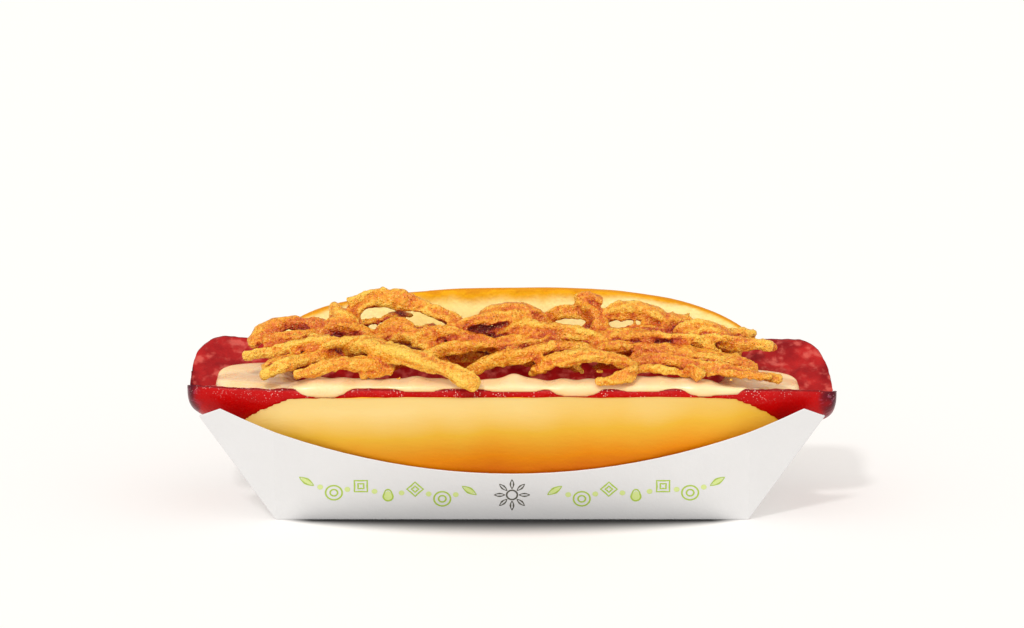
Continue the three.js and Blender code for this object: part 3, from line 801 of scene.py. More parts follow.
@dataclass(frozen=True)
class BatterFinish:
    """Fried batter with painted highlights on its hills, painted red-brown shade in its hollows, painted pale glints
    and dark flecks.
    """

    light: tuple = paint(247, 194, 68)
    gold: tuple = paint(236, 152, 20)
    orange: tuple = paint(217, 106, 5)
    amber: tuple = paint(184, 56, 4)
    brown: tuple = paint(134, 20, 8)
    fleck: tuple = paint(76, 40, 18)
    # Pale speck colour painted as glints.
    grain: tuple = paint(255, 216, 116)

    def material(self) -> bpy.types.Material:
        """Return the batter's material."""
        material, tree, principled = shader("fried batter")
        place = object_place(tree)
        broad = effect(tree, EFFECTS.patches, Vector=place, Size=8 * MM, Detail=3.0, Contrast=2.2)
        fine = effect(tree, EFFECTS.patches, Vector=place, Size=0.8 * MM, Detail=4.0, Contrast=3.0)
        level = math_node(tree, "MULTIPLY_ADD", layer_value(tree, Layer.TONE), 0.38, 0.09)
        # Painted highlight and shade: paler on the hills, darker and redder where the string is covered.
        for part in (
            ranged(tree, broad, 0, 1, (-0.12, 0.14)),
            ranged(tree, layer_value(tree, Layer.HILL), -1.8, 1.8, (0.22, -0.14)),
            ranged(tree, layer_value(tree, Layer.COVER), 0.25, 0.9, (-0.05, 0.72)),
            ranged(tree, fine, 0, 1, (0.06, -0.06)),
        ):
            level = math_node(tree, "ADD", level, part)
        stops = [(0.0, self.light), (0.2, self.gold), (0.42, self.orange), (0.7, self.amber), (1.0, self.brown)]
        colour = ramp(tree, level, stops)
        # Painted glints: pale specks over the batter.
        glint_specks = effect(tree, EFFECTS.specks, Vector=place, Spacing=0.7 * MM, Radius=0.32, Share=0.5)
        colour = mixed(tree, math_node(tree, "MULTIPLY", glint_specks, 0.55), colour, self.grain)
        flecks = effect(tree, EFFECTS.specks, Vector=place, Spacing=1.9 * MM, Radius=0.13, Share=0.45)
        colour = mixed(tree, math_node(tree, "MULTIPLY", flecks, 0.75), colour, self.fleck)
        relief = effect(tree, EFFECTS.pores, Vector=place, Size=0.5 * MM)
        normal = bump(tree, relief, 0.3, bump(tree, fine, 0.28))
        principled.inputs["Specular IOR Level"].default_value = 0.62
        principled.inputs["Subsurface Weight"].default_value = 0.1
        principled.inputs["Subsurface Radius"].default_value = (1.0, 0.45, 0.12)
        principled.inputs["Subsurface Scale"].default_value = 1.0 * MM
        wire(tree, principled, Base_Color=colour, Roughness=ranged(tree, fine, 0, 1, (0.22, 0.42)), Normal=normal)
        return material


# The sausage


@dataclass(frozen=True)
class SausageHalf:
    """One half of the opened sausage: its axis and its directions in the section."""

    along: Points
    down: Points
    centre: Points


@dataclass(frozen=True)
class Corner:
    """How the back half's lip rounds off at one end: over what length, and by what share of the radius."""

    length: float
    drop: float


@dataclass
class SplitSausage:
    """Return the floor's painted contact shadow close along the tray's base, darkest in its middle."""

    radius: float = 11.5
    half_length: float = 89.2
    front_lip_bluntness: float = 9
    left_corner: Corner = Corner(9.5, 1.3)
    right_corner: Corner = Corner(8.8, 1.8)
    front_skin_bluntness: float = 4.3
    back_skin_bluntness: float = 4
    smallest_lip: float = 0.5
    smallest_skin: float = 0.12
    skin_turn: float = math.radians(148)
    hinge_half_width: float = 5
    split: tuple[float, float] = (0.5, 30)
    front_rise: float = math.radians(17)
    back_rise: float = math.radians(31.5)
    hinge: float = 2.5
    end_start: float = 58
    left_end_lift: float = 1.4
    right_end_lift: float = -0.5
    cap_share: float = 0.02
    corner_reach: int = 5
    end_reach: float = 9
    # Where the painted glints lie below the front lip, and how they fade towards the ends.
    glint_middle: float = 0.8
    glint_reach: float = 4
    glint_fade_ends: tuple[float, float] = (52, 78)
    glint_fading: float = 0.7
    finish: SausageFinish = field(default_factory=SausageFinish)

    def half(self, side: int) -> SausageHalf:
        """Return the front half for -1 or the back half for 1."""
        rise = self.front_rise if side < 0 else self.back_rise
        along = np.array([side * math.cos(rise), math.sin(rise)])
        down = np.array([side * math.sin(rise), -math.cos(rise)])
        return SausageHalf(along, down, np.array(self.split) + along * self.radius)

    def split_up(self) -> Points:
        """Return the direction straight out of the bottom of the split."""
        between = self.half(-1).along + self.half(1).along
        return between / np.linalg.norm(between)

    def skin_point(self, half: SausageHalf, angle: float, distance: float) -> Points:
        """Return a point of a half's skin, turned from its lip, at a distance from its axis."""
        turned = half.along * math.cos(angle) + half.down * math.sin(angle)
        return half.centre + turned * distance

    def end_lift(self, x: float | Points) -> float | Points:
        """Return how far the ends lie above or below the line of the middle."""
        share = np.maximum(np.abs(x) - self.end_start, 0) / (self.half_length - self.end_start)
        return np.where(x < 0, self.left_end_lift, self.right_end_lift) * share**2

    def outline(self, grow: float) -> tuple[Points, Points]:
        """Return the section.

        Args:
            grow: how far the section is grown outwards.

        Returns:
            Points in the section's plane, and for each whether it lies on a cut face.
        """
        distance = self.radius + grow
        first = -math.asin(grow / distance)
        angles = np.linspace(first, self.skin_turn, 24)
        front, back = self.half(-1), self.half(1)
        front_arc = [self.skin_point(front, a, distance) for a in angles]
        back_arc = [self.skin_point(back, a, distance) for a in angles[::-1]]
        opening = (math.pi - self.front_rise - self.back_rise) / 2
        hinge = np.array(self.split) - self.split_up() * (self.hinge + grow)
        floor = np.array(self.split) + self.split_up() * grow / math.sin(opening)
        corners = np.array([*front_arc, hinge, *back_arc, floor])
        count = 420
        line = even_points(corners, np.arange(count) / count, closed=True)
        up_front = (line - np.array(self.split)) @ front.down
        up_back = (line - np.array(self.split)) @ back.down
        on_face = np.where(line[:, 0] < self.split[0], up_front, up_back) < grow + 0.05
        return eased(line, self.corner_reach), eased(on_face.astype(float), self.corner_reach)

    def corner_drop(self, x: Points, half_length: float) -> Points:
        """Return how much of the back half's cut face its rounded corner takes off at x."""
        corners = [(self.left_corner, x < 0), (self.right_corner, x >= 0)]
        drop = np.zeros_like(x)
        for corner, here in corners:
            share = np.clip((np.abs(x) - half_length) / corner.length + 1, 0, 1)
            drop = np.where(here, (1 - np.sqrt(1 - share**2)) * corner.drop / 2, drop)
        return drop

    def shaped(self, t: Points, section: Points, grow: float) -> Points:
        """Return the places of section points at stations from -1 to 1.

        Args:
            t: each point's station.
            section: each point's place in the section.
            grow: how far the sausage is grown outwards.

        Returns:
            Places in millimetres.
        """
        half_length = self.half_length + grow
        x = station(t, half_length)
        split_y = self.split[0]
        is_front = section[:, 0] < split_y
        places = np.zeros((len(t), 3))
        free = smoothstep(np.abs(section[:, 0] - split_y), 0, self.hinge_half_width)
        lip = np.maximum(end_taper(x, half_length, self.front_lip_bluntness), self.smallest_lip)
        for side, chosen, bluntness in (
            (-1, is_front, self.front_skin_bluntness),
            (1, ~is_front, self.back_skin_bluntness),
        ):
            half = self.half(side)
            from_axis = section - half.centre
            along = from_axis @ half.along
            if side < 0:
                along = along * blend(1, lip, free)
            else:
                along = (along + self.radius) * (1 - self.corner_drop(x, half_length)) - self.radius
            skin = np.maximum(end_taper(x, half_length, bluntness), self.smallest_skin)
            down = (from_axis @ half.down) * skin
            point = half.centre + along[:, None] * half.along + down[:, None] * half.down
            places[chosen, 1:] = point[chosen]
        places[:, 0] = x
        places[:, 2] += self.end_lift(x)
        return places

    def body(self, name: str, columns: int, rows: int, grow: float = 0) -> bpy.types.Object:
        """Add the sausage's closed mesh.

        Args:
            name: the mesh's name.
            columns: faces along it.
            rows: faces round it.
            grow: how far it is grown outwards.

        Returns:
            The mesh, with the cut faces and the ends marked.
        """
        ring, on_face = self.outline(grow)
        marks: dict[str, Points] = {}

        def place(u: Points, v: Points) -> Points:
            section = even_points(ring, v % 1, closed=True)
            marks["face"] = np.interp(v % 1, np.arange(len(ring)) / len(ring), on_face)
            t = np.clip((u - self.cap_share) / (1 - 2 * self.cap_share), 0, 1) * 2 - 1
            places = self.shaped(t, section, grow)
            middle = self.shaped(t, np.tile(ring.mean(axis=0), (len(t), 1)), grow)
            cap = np.clip(np.minimum(u, 1 - u) / self.cap_share, 0, 1)
            return middle + (places - middle) * np.sin(cap * math.pi / 2)[:, None]

        piece = grid_piece(name, columns, rows, place)
        set_layer(piece, Layer.FACE, marks["face"])
        points = read_points(piece)
        points[:, 1] += SHIFT
        write_points(piece, points)
        close_tube(piece)
        return piece

    def glint_band(self, points: Points) -> Points:
        """Return where the front half's skin gets painted glints: 1 just below its lip, less down the skin and at
        the ends.
        """
        half = self.half(-1)
        from_axis = points[:, 1:] - (0, 1) * self.end_lift(points[:, :1]) - half.centre - (SHIFT, 0)
        turned = np.arctan2(from_axis @ half.down, from_axis @ half.along) * self.radius
        faded = smoothstep(np.abs(points[:, 0]), *self.glint_fade_ends) * self.glint_fading
        return hump(turned, self.glint_middle, self.glint_reach) * (points[:, 1] < self.split[0]) * (1 - faded)

    def build(self) -> bpy.types.Object:
        """Return the finished sausage."""
        piece = self.body("opened_sausage", 420, 150)
        points = read_points(piece)
        face = np.array([d.value for d in piece.data.attributes[Layer.FACE.value].data])
        outwards = np.abs(read_normals(piece)[:, 0])
        near_end = smoothstep(np.abs(points[:, 0]), self.half_length - self.end_reach, self.half_length)
        is_front = points[:, 1] < self.split[0]
        ragged = np.abs(points[:, 0]) + smooth_noise(points, 3.2, 11) * 2.2
        rim = smoothstep(ragged, self.half_length - 4.5, self.half_length - 1.5) * is_front
        set_layer(piece, Layer.END, np.maximum(rim, smoothstep(outwards, 0.35, 0.7) * (near_end > 0)))
        set_layer(piece, Layer.LIP, self.glint_band(points))
        broad = smooth_noise(points, 6.5) * 0.35
        rough = smooth_noise(points, 1.6, 7) * 0.22 + smooth_noise(points, 3.4, 3) * 0.3
        push_out(piece, blend(smooth_noise(points, 9, 5) * 0.25, broad + rough, face))
        dress(piece, self.finish.material(), Slot.SAUSAGE, "split_sausage")
        return piece


# The sauce


@dataclass(frozen=True)
class Drip:
    """A place where the bead runs over the front lip."""

    x: float
    half_width: float
    share: float


@dataclass(frozen=True)
class Swell:
    """A place where the bead is deeper than its run, or shallower where height is below 0."""

    x: float
    half_width: float
    height: float


@dataclass(frozen=True)
class Pool:
    """How far up the back half the sauce reaches at one end, and its level."""

    back: float
    level: float


@dataclass
class PaleSauce:
    """A bead along the front half, and at each end a pool that fills the split."""

    sausage: SplitSausage
    middle: float = -1.2
    half_length: float = 80.8
    end_bluntness: float = 5
    end_depth: float = 0.3
    edge_round: float = 0.6
    bead_back: float = 9.5
    bead_depth: float = 3.4
    ripple: float = 0.22
    middle_distance: float = 3
    lip_overrun: float = 0.4
    lip_round: float = 3
    lip_depth: float = 1.5
    edge_depth: float = 0.6
    drip_length: float = 3.5
    drip_flat: float = 0.3
    pool_front: float = 19
    pool_start: float = 52
    pool_full: float = 64
    over_lip_middle: float = 1.7
    over_lip_full: float = 62
    over_lip_end: float = 66.5
    left_pool: Pool = Pool(14.6, 37.1)
    right_pool: Pool = Pool(11, 36.2)
    pool_tilt: float = 0.05
    sink: float = 0.15
    drips: tuple[Drip, ...] = (
        Drip(-52.5, 10.5, 1),
        Drip(-25.5, 9, 0.35),
        Drip(0.5, 12.5, 0.35),
        Drip(17.5, 9.5, 0.75),
        Drip(36, 10.5, 0.35),
        Drip(56.5, 13, 1),
    )
    swells: tuple[Swell, ...] = (
        Swell(-52, 12, 0.5),
        Swell(-26, 9, 0.3),
        Swell(-9, 6, -0.4),
        Swell(0, 6, 1.2),
        Swell(8.5, 4, -0.5),
        Swell(18.5, 6, -0.5),
        Swell(30, 4, -0.4),
        Swell(40, 10, 0.8),
        Swell(55, 7, 0.3),
    )
    finish: SauceFinish = field(default_factory=SauceFinish)

    def pool_share(self, x: float) -> float:
        """Return how much of the sauce at x is pool rather than bead."""
        return smoothstep(abs(x - self.middle), self.pool_start, self.pool_full)

    def pool(self, x: float) -> Pool:
        """Return the pool on x's side."""
        return self.left_pool if x < self.middle else self.right_pool

    def front_edge(self, x: float) -> float:
        """Return how far the sauce's front edge lies from the bottom of the split at x."""
        runs = [
            drip.share * self.drip_length * (1 - smoothstep(abs(x - drip.x) / drip.half_width, self.drip_flat, 1))
            for drip in self.drips
        ]
        bead = 2 * self.sausage.radius + self.lip_overrun + max(runs)
        behind_lip = smoothstep(abs(x - self.over_lip_middle), self.over_lip_full, self.over_lip_end)
        return blend(bead, self.pool_front, behind_lip)

    def surface(self, distance: float) -> tuple[Points, Points]:
        """Return a place on the sausage.

        Args:
            distance: how far it lies along the section from the bottom of the split, positive over the
                front lip and negative up the back half.

        Returns:
            The point, and the direction out of the sausage there.
        """
        sausage = self.sausage
        half = sausage.half(1 if distance < 0 else -1)
        lip = 2 * sausage.radius
        if distance > lip:
            point = sausage.skin_point(half, (distance - lip) / sausage.radius, sausage.radius - self.sink)
            out = point - half.centre
            return point, out / np.linalg.norm(out)
        on_face = smoothstep(abs(distance), 0, sausage.hinge_half_width)
        out = blend(sausage.split_up(), -half.down, on_face)
        point = np.array(sausage.split) + half.along * abs(distance) + half.down * self.sink
        at_lip = smoothstep(distance, lip - self.lip_round, lip)
        out = blend(out / np.linalg.norm(out), half.along, at_lip / 2)
        return point, out / np.linalg.norm(out)

    def depth(self, distance: float, x: float, point: Points, out: Points) -> float:
        """Return how deep the sauce is at a distance along the section."""
        lip = 2 * self.sausage.radius
        across = (2 * distance - lip - self.bead_back) / (lip - self.bead_back)
        ripple = self.ripple * (math.sin(x * 0.42) + math.sin(x * 0.93 + 1))
        ripple += sum(swell.height * hump(x, swell.x, swell.half_width) for swell in self.swells)
        bead = self.lip_depth + max(1 - across**2, 0) * (self.bead_depth - self.lip_depth + ripple)
        filled = self.lip_depth
        if distance <= lip:
            level = self.pool(x).level - self.pool_tilt * distance
            filled = max((level - point[1]) / out[1], self.edge_depth)
        return blend(bead, filled, self.pool_share(x))

    def place(self, u: float, v: float) -> Points:
        """Return a place on the sauce's skin.

        Args:
            u: the share of the way along it.
            v: the share of the way round it, over the top in the first half and under it in the second.

        Returns:
            The place in millimetres.
        """
        along = station(2 * u - 1, self.half_length * 0.9999)
        x = self.middle + along
        taper = end_taper(along, self.half_length, self.end_bluntness)
        narrow = [
            blend(self.middle_distance, edge, taper)
            for edge in (self.front_edge(x), blend(self.bead_back, -self.pool(x).back, self.pool_share(x)))
        ]
        share = 2 * v if v < 0.5 else 2 - 2 * v
        distance = blend(*narrow, share)
        point, out = self.surface(distance)
        rounded = math.sin(math.pi * share) ** self.edge_round if 0 < share < 1 else 0
        edge = blend(rounded, min(1, 12 * share * (1 - share)), self.pool_share(x))
        depth = self.depth(distance, x, point, out) * blend(self.end_depth, 1, taper)
        lift = max(self.edge_depth * min(1, 20 * share * (1 - share)), depth * edge) if v < 0.5 else 0
        placed = point + out * lift
        return np.array([x, placed[0] + SHIFT, placed[1] + float(self.sausage.end_lift(x))])

    def build(self) -> bpy.types.Object:
        """Return the finished sauce."""

        def places(u: Points, v: Points) -> Points:
            return np.array([self.place(a, b) for a, b in zip(u, v)])

        piece = grid_piece("sauce_bead_and_pools", 300, 72, places)
        close_tube(piece)
        even_skin(piece, 0.4, 24)
        dress(piece, self.finish.material(), Slot.SAUCE, "sauce")
        return piece


# The roll


@dataclass
class SoftRoll:
    """A loaf opened by a cut, with blunt front ends, a rounder back crown and a boat-shaped underside."""

    sausage: SplitSausage
    half_length: float = 77
    waist: float = 20
    front_bluntness: float = 3.7
    front_width_bluntness: float = 4.8
    crown_bluntness: float = 2.7
    crown_width_bluntness: float = 4.6
    underside_bluntness: float = 1.8
    underside_top: float = 4
    side_top: float = 26
    front_y: float = -12
    crown_y: float = 16
    gap: float = 0.3
    skin: float = 0.75
    thin_band: float = 1.7
    broad_band: float = 5.4
    band_middle: float = -6
    band_half_length: float = 58
    outline: tuple[tuple[float, float], ...] = (
        (0, 1.2), (-14, 1.5), (-22.8, 7.5), (-26.9, 16), (-29.4, 24.5), (-28.6, 31), (-25, 35.5), (-10, 44.5),
        (8, 53.5), (21, 56.1), (28, 52.6), (31.5, 44), (31, 31), (27.4, 17), (22.8, 7.5), (14, 1.5),
    )
    cut: tuple[tuple[float, float], ...] = (
        (-34, 66), (-27, 35.4), (-23.5, 34.6), (-12, 31), (1, 28.4), (10, 33), (19.4, 40.5), (20.6, 54), (22.4, 66),
    )
    finish: BreadFinish = field(default_factory=BreadFinish)

    def loaf(self) -> bpy.types.Object:
        """Return the whole loaf before it is cut."""
        ring = catmull_rom(np.array(self.outline, float), True, 12)

        def place(u: Points, v: Points) -> Points:
            section = even_points(ring, v % 1, closed=True)
            y, z = section[:, 0], section[:, 1]
            x = station(2 * u - 1, self.half_length)
            up = smoothstep(z, self.underside_top, self.side_top)
            back = smoothstep(y, self.front_y, self.crown_y)
            wide = blend(self.front_width_bluntness, self.crown_width_bluntness, back)
            high = blend(self.front_bluntness, self.crown_bluntness, back)
            width = end_taper(x, self.half_length, blend(self.underside_bluntness, wide, up))
            height = end_taper(x, self.half_length, blend(self.underside_bluntness, high, up))
            return np.stack([x, y * width + SHIFT, self.waist + (z - self.waist) * height], axis=1)

        piece = grid_piece("loaf", 170, 96, place)
        close_tube(piece)
        return piece

    def cutter(self) -> bpy.types.Object:
        """Return the prism that opens the loaf."""
        reach = 100
        deselect_all()
        bpy.ops.mesh.primitive_circle_add(vertices=len(self.cut), radius=MM, fill_type="NGON")
        piece = bpy.context.active_object
        piece.name = "roll_cutter"
        corners = np.array([(-reach, y + SHIFT, z) for y, z in self.cut], float)
        write_points(piece, corners)
        bpy.ops.object.mode_set(mode="EDIT")
        bpy.ops.mesh.select_all(action="SELECT")
        bpy.ops.mesh.extrude_region_move(TRANSFORM_OT_translate={"value": (2 * reach * MM, 0, 0)})
        bpy.ops.mesh.select_all(action="SELECT")
        bpy.ops.mesh.normals_make_consistent(inside=False)
        bpy.ops.object.mode_set(mode="OBJECT")
        return piece

    def toasting(self, points: Points, depth: Points) -> Points:
        """Return how toasted the cut face is, in a band under the crust that is broad in the middle.

        Args:
            points: places on the roll in millimetres.
            depth: how far each lies inside the crust, in millimetres.

        Returns:
            A share from 0 to 1 for each place.
        """
        wandering = smooth_noise(points * (1, 0, 0), 9, 4)
        band = self.thin_band + self.broad_band * hump(points[:, 0], self.band_middle, self.band_half_length)
        return 1 - smoothstep(depth / (band * (1 + 0.3 * wandering)), 0.05, 1)

    def build(self) -> bpy.types.Object:
        """Return the finished roll."""
        whole = self.loaf()
        piece = self.loaf()
        piece.name = "soft_roll"
        cutter = self.cutter()
        seat = self.sausage.body("sausage_seat", 120, 60, self.gap)
        cut_away(piece, cutter)
        cut_away(piece, seat)
        even_skin(piece, self.skin, 4)
        points = read_points(piece)
        depth = distance_from(points, whole)
        inside = smoothstep(depth, 0.4, 1.2)
        crumb = smooth_noise(points, 2.2, 3) * 0.08 + smooth_noise(points, 9, 9) * 0.3
        crust = smooth_noise(points, 14, 2) * 0.35 + smooth_noise(points, 34, 5) * 0.4
        push_out(piece, blend(crust, crumb, inside))
        set_layer(piece, Layer.DEPTH, depth)
        set_layer(piece, Layer.TOAST, self.toasting(points, depth))
        for helper in (whole, cutter, seat):
            remove(helper)
        dress(piece, self.finish.material(), Slot.BREAD, "roll")
        return piece


# The onion strings


@dataclass(frozen=True)
class OnionString:
    """One fried string: an arc between two ends, pushed out by bow, most of all at its crest.

    thick holds the thickness at both ends, and tone how brown it is, from 0 to 1.
    """

    start: Place
    end: Place
    bow: Place
    crest: float
    thick: tuple[float, float]
    tone: float


SHOWN_STRINGS = (
    OnionString((-74.7, -8, 42.4), (-34.5, -11, 46), (0, -1, 2.6), 0.6, (3.4, 4.2), 0.25),
    OnionString((-44, -11, 46.8), (-9.2, -24.8, 37.8), (0, -2, 2.4), 0.5, (4.4, 5), 0.1),
    OnionString((-72.5, -4, 44.4), (-51, -1, 48.6), (0, 1, 4.4), 0.4, (4.4, 4.4), 0.75),
    OnionString((-69.2, -6, 46.6), (-49, -3, 46.8), (0, 0, 0.8), 0.5, (3.4, 3.8), 0.7),
    OnionString((-69.8, -8, 43.6), (-61, -6, 45.2), (0, 0, 0.5), 0.5, (3, 2.4), 0.9),
    OnionString((-50.2, 3, 56.4), (-44, -1, 48.5), (-1.5, 0, 0), 0.5, (4.4, 6.4), 0.45),
    OnionString((-46, 1, 51.2), (-14.5, -1.8, 51), (0, 3, 5.8), 0.34, (5, 3.6), 0.4),
    OnionString((-43.5, 0, 49.6), (-31.5, 4, 52.6), (0, 0, 0), 0.5, (2.4, 2), 0.6),
    OnionString((-50, -2, 49.6), (-37, -3.5, 46.4), (0, 0, 0.8), 0.5, (4.8, 4.4), 0.65),
    OnionString((-36, -3, 47.6), (-21, -6, 44.6), (0, 0, 3), 0.45, (5, 5), 0.45),
    OnionString((-23.5, -5, 44.4), (10, 2, 50.4), (0, 0, 4.6), 0.45, (3.6, 3.2), 0.55),
    OnionString((-7.5, 1, 53), (7.5, 2.5, 52.2), (0, 0, 2.4), 0.5, (3, 3.2), 0.65),
    OnionString((-13, 0, 46.8), (1, 0, 48.4), (0, 0, 0.4), 0.5, (3, 3), 0.9),
    OnionString((-23.5, -8, 44.2), (10, -5, 46.9), (0, 0, 0.5), 0.5, (3.2, 3), 0.4),
    OnionString((-1, -2, 48), (25, -5, 46.8), (0, 0, 1.5), 0.5, (4.2, 4.8), 0.35),
    OnionString((-10, -12, 40.8), (21.5, -9, 46), (0, -1, 1.3), 0.5, (4.2, 3.8), 0.5),
    OnionString((9, 5, 51), (22, 5, 51.6), (0, 0, 1.6), 0.5, (3.4, 3.8), 0.6),
    OnionString((19, 6, 56.4), (24.4, 0, 46), (1, 0, 0), 0.5, (5, 5.4), 0.7),
    OnionString((17.4, 5, 55.4), (25.4, 4, 54.8), (0, 0, 1.6), 0.5, (3.8, 3.6), 0.85),
    OnionString((21, 3, 48.4), (44.6, 4, 48.6), (0, 0, 5.4), 0.48, (4.6, 4.4), 0.35),
    OnionString((43, 4, 50.6), (50.5, 3, 49), (0, 0, 0.6), 0.5, (4, 4.4), 0.4),
    OnionString((46, 0, 46), (60, 0, 44.6), (0, 0, 2.4), 0.5, (5, 5.2), 0.45),
    OnionString((56, -2, 44.6), (73, -3, 44.3), (0, 0, 0.3), 0.5, (3.6, 3.8), 0.35),
    OnionString((25, -3, 47.4), (52, -4, 45), (0, 0, 0.8), 0.5, (3.6, 3.2), 0.55),
    OnionString((23, -8, 45.6), (63, -8, 42), (0, 0, 1), 0.5, (3.4, 3), 0.6),
    OnionString((36, -10, 43.6), (68, -11, 39.4), (0, 0, 1.2), 0.5, (3.2, 3.6), 0.5),
    OnionString((33, -12.5, 42.4), (74.5, -16, 38.2), (0, 0, 1.2), 0.5, (3.4, 2.8), 0.55),
    OnionString((53, -16, 39.6), (71.5, -18.5, 38.8), (0, 0, 0.8), 0.5, (2.4, 2), 0.7),
    OnionString((8.6, -13.5, 41.8), (32.5, -16, 42.8), (0, -2, 2.6), 0.5, (3.6, 3.8), 0.4),
    OnionString((31, -15.5, 43.4), (22, -23, 38.6), (6, -2, -0.6), 0.45, (4, 3), 0.4),
    OnionString((31, -16, 40.4), (49, -17, 40), (0, 0, 0.9), 0.5, (2.6, 2.6), 0.45),
    OnionString((48, -15, 41.4), (52, -21.4, 39.4), (0, -0.5, 0.8), 0.5, (3, 3.8), 0.45),
    OnionString((-69.5, -19, 39.4), (-52, -13, 43.6), (0, 0, 1), 0.5, (3.2, 3.4), 0.4),
    OnionString((-60.5, -18.5, 39.6), (-32, -15, 41), (0, -1.5, 2.6), 0.5, (3.8, 4), 0.45),
    OnionString((-69, -14.5, 40.8), (-50, -11, 44.4), (0, 0, 0.3), 0.5, (3, 3), 0.6),
    OnionString((-42, -17.5, 39.6), (-35, -17, 39.8), (0, 0, 0.3), 0.5, (2.6, 2.4), 0.3),
)


@dataclass
class FriedOnions:
    """The heap of fried strings: those that show, and by rule those behind and under them."""

    shown: tuple[OnionString, ...] = SHOWN_STRINGS
    seed: int = 11
    behind: int = 8
    under: int = 15
    between: int = 24
    step: float = 0.55
    sides: int = 24
    wander: float = 0.5
    wander_length: float = 17
    flatness: tuple[float, float] = (0.62, 0.92)
    twist: float = 2.2
    streak: float = 0.13
    crag: float = 0.16
    fin: float = 1.0
    thin_end: float = 0.55
    free_end: float = 0.85
    thinning: float = 7
    tuck: Place = (4.5, 1, -2.4)
    heap_half_length: float = 62
    heap_front: float = -14.5
    heap_top: float = 54
    skin: float = 0.52
    grit: float = 0.17
    grit_size: float = 1.0
    cover_reach: float = 7
    crumbs: tuple[tuple[Place, float], ...] = (
        ((6.7, -13.5, 40.2), 1.5),
        ((-18, -16, 39), 0.9),
        ((24, -14, 40), 1.0),
        ((-62, -12, 40.5), 0.9),
        ((-31, -20, 39.2), 0.8),
        ((60, -19.5, 38.6), 0.8),
    )
    finish: BatterFinish = field(default_factory=BatterFinish)

    def behind_strings(self) -> list[OnionString]:
        """Return the strings down the back of the heap, by the same seeded rule as the solid's."""
        state = self.seed

        def draw() -> float:
            nonlocal state
            state = (state * 1664525 + 1013904223) % 4294967296
            return state / 4294967296

        rows = []
        for i in range(self.behind):
            half = blend(22, 38, draw()) / 2
            x = blend(-54, 54, (i + draw()) / self.behind)
            depth = draw()
            y, z = blend(3, 10.5, depth), blend(43.5, 41, depth)
            sway = (draw() - 0.5) * 7
            bow = (0, 0, blend(1, 3, draw()))
            start, end = (x - half, y - sway / 2, z), (x + half, y + sway / 2, z)
            rows.append(OnionString(start, end, bow, 0.5, (3.4, 3.4), 0.5))
        return rows

    def under_strings(self) -> list[OnionString]:
        """Return long strings that lie in the split under the heap and on the back half behind it."""
        random = np.random.default_rng(self.seed)
        rows = []
        for i in range(self.under):
            half = random.uniform(13, 22)
            x = blend(-50, 50, (i + random.uniform()) / self.under)
            y = random.uniform(1, 8) if i % 2 else random.uniform(9, 14)
            z = random.uniform(39, 42) + max(y - 8, 0) * 0.25
            sway = random.uniform(-3, 3)
            bow = (0, 0, random.uniform(0, 2))
            thick = (random.uniform(3.2, 4.2), random.uniform(3.2, 4.2))
            tone = random.uniform(0.6, 0.95)
            rows.append(OnionString((x - half, y - sway, z), (x + half, y + sway, z), bow, 0.5, thick, tone))
        return rows

    def between_strings(self) -> list[OnionString]:
        """Return thin strings that lie among those that show."""
        random = np.random.default_rng(self.seed + 1)
        rows = []
        for i in range(self.between):
            half = random.uniform(9, 19)
            x = blend(-56, 60, (i + random.uniform()) / self.between)
            y, z = random.uniform(-8, 3), random.uniform(43.4, 47.4) - 2.5 * (x / 60) ** 2
            slope, sway = random.uniform(-2.5, 2.5), random.uniform(-3, 3)
            bow = (0, 0, random.uniform(0.3, 2.4))
            thick = (random.uniform(1.9, 2.9), random.uniform(1.9, 2.9))
            start, end = (x - half, y - sway, z - slope), (x + half, y + sway, z + slope)
            rows.append(OnionString(start, end, bow, 0.5, thick, random.uniform(0.35, 0.9)))
        return rows

    def is_free(self, end: Place | Points) -> bool:
        """Return whether a string's end sticks out of the heap."""
        return abs(end[0]) > self.heap_half_length or end[1] < self.heap_front or end[2] > self.heap_top

    def tucked(self, end: Points, other: Points) -> Points:
        """Return where a string's end goes, further on and down where it lies inside the heap."""
        if self.is_free(end):
            return end
        onward = (end - other) / np.linalg.norm(end - other)
        return end + onward * self.tuck[0] + (0, *self.tuck[1:])

    def path(self, string: OnionString) -> Points:
        """Return the curve that a string follows."""
        start, end, bow = (np.array(p, float) for p in (string.start, string.end, string.bow))
        skew = math.log(0.5) / math.log(string.crest)
        shares = np.linspace(0, 1, 9)
        knots = start + (end - start) * shares[:, None] + bow * np.sin(math.pi * shares**skew)[:, None]
        knots = np.vstack([self.tucked(start, knots[1]), knots[1:-1], self.tucked(end, knots[-2])])
        knots += unevenness(knots, self.wander_length, self.wander)
        return catmull_rom(knots, False, 10)

    def relief(self, random: np.random.Generator, columns: int, along: int, around: int) -> Points:
        """Return uneven heights on a tube's grid.

        Args:
            random: the string's own random numbers.
            columns: faces along the tube.
            along: over how many faces along it the heights are eased.
            around: over how many faces round it the heights are eased.

        Returns:
            Heights with a spread of 1, by station and side.
        """
        heights = eased(eased(random.normal(size=(columns + 1, self.sides)), along, 0), around, 1)
        return heights / heights.std()

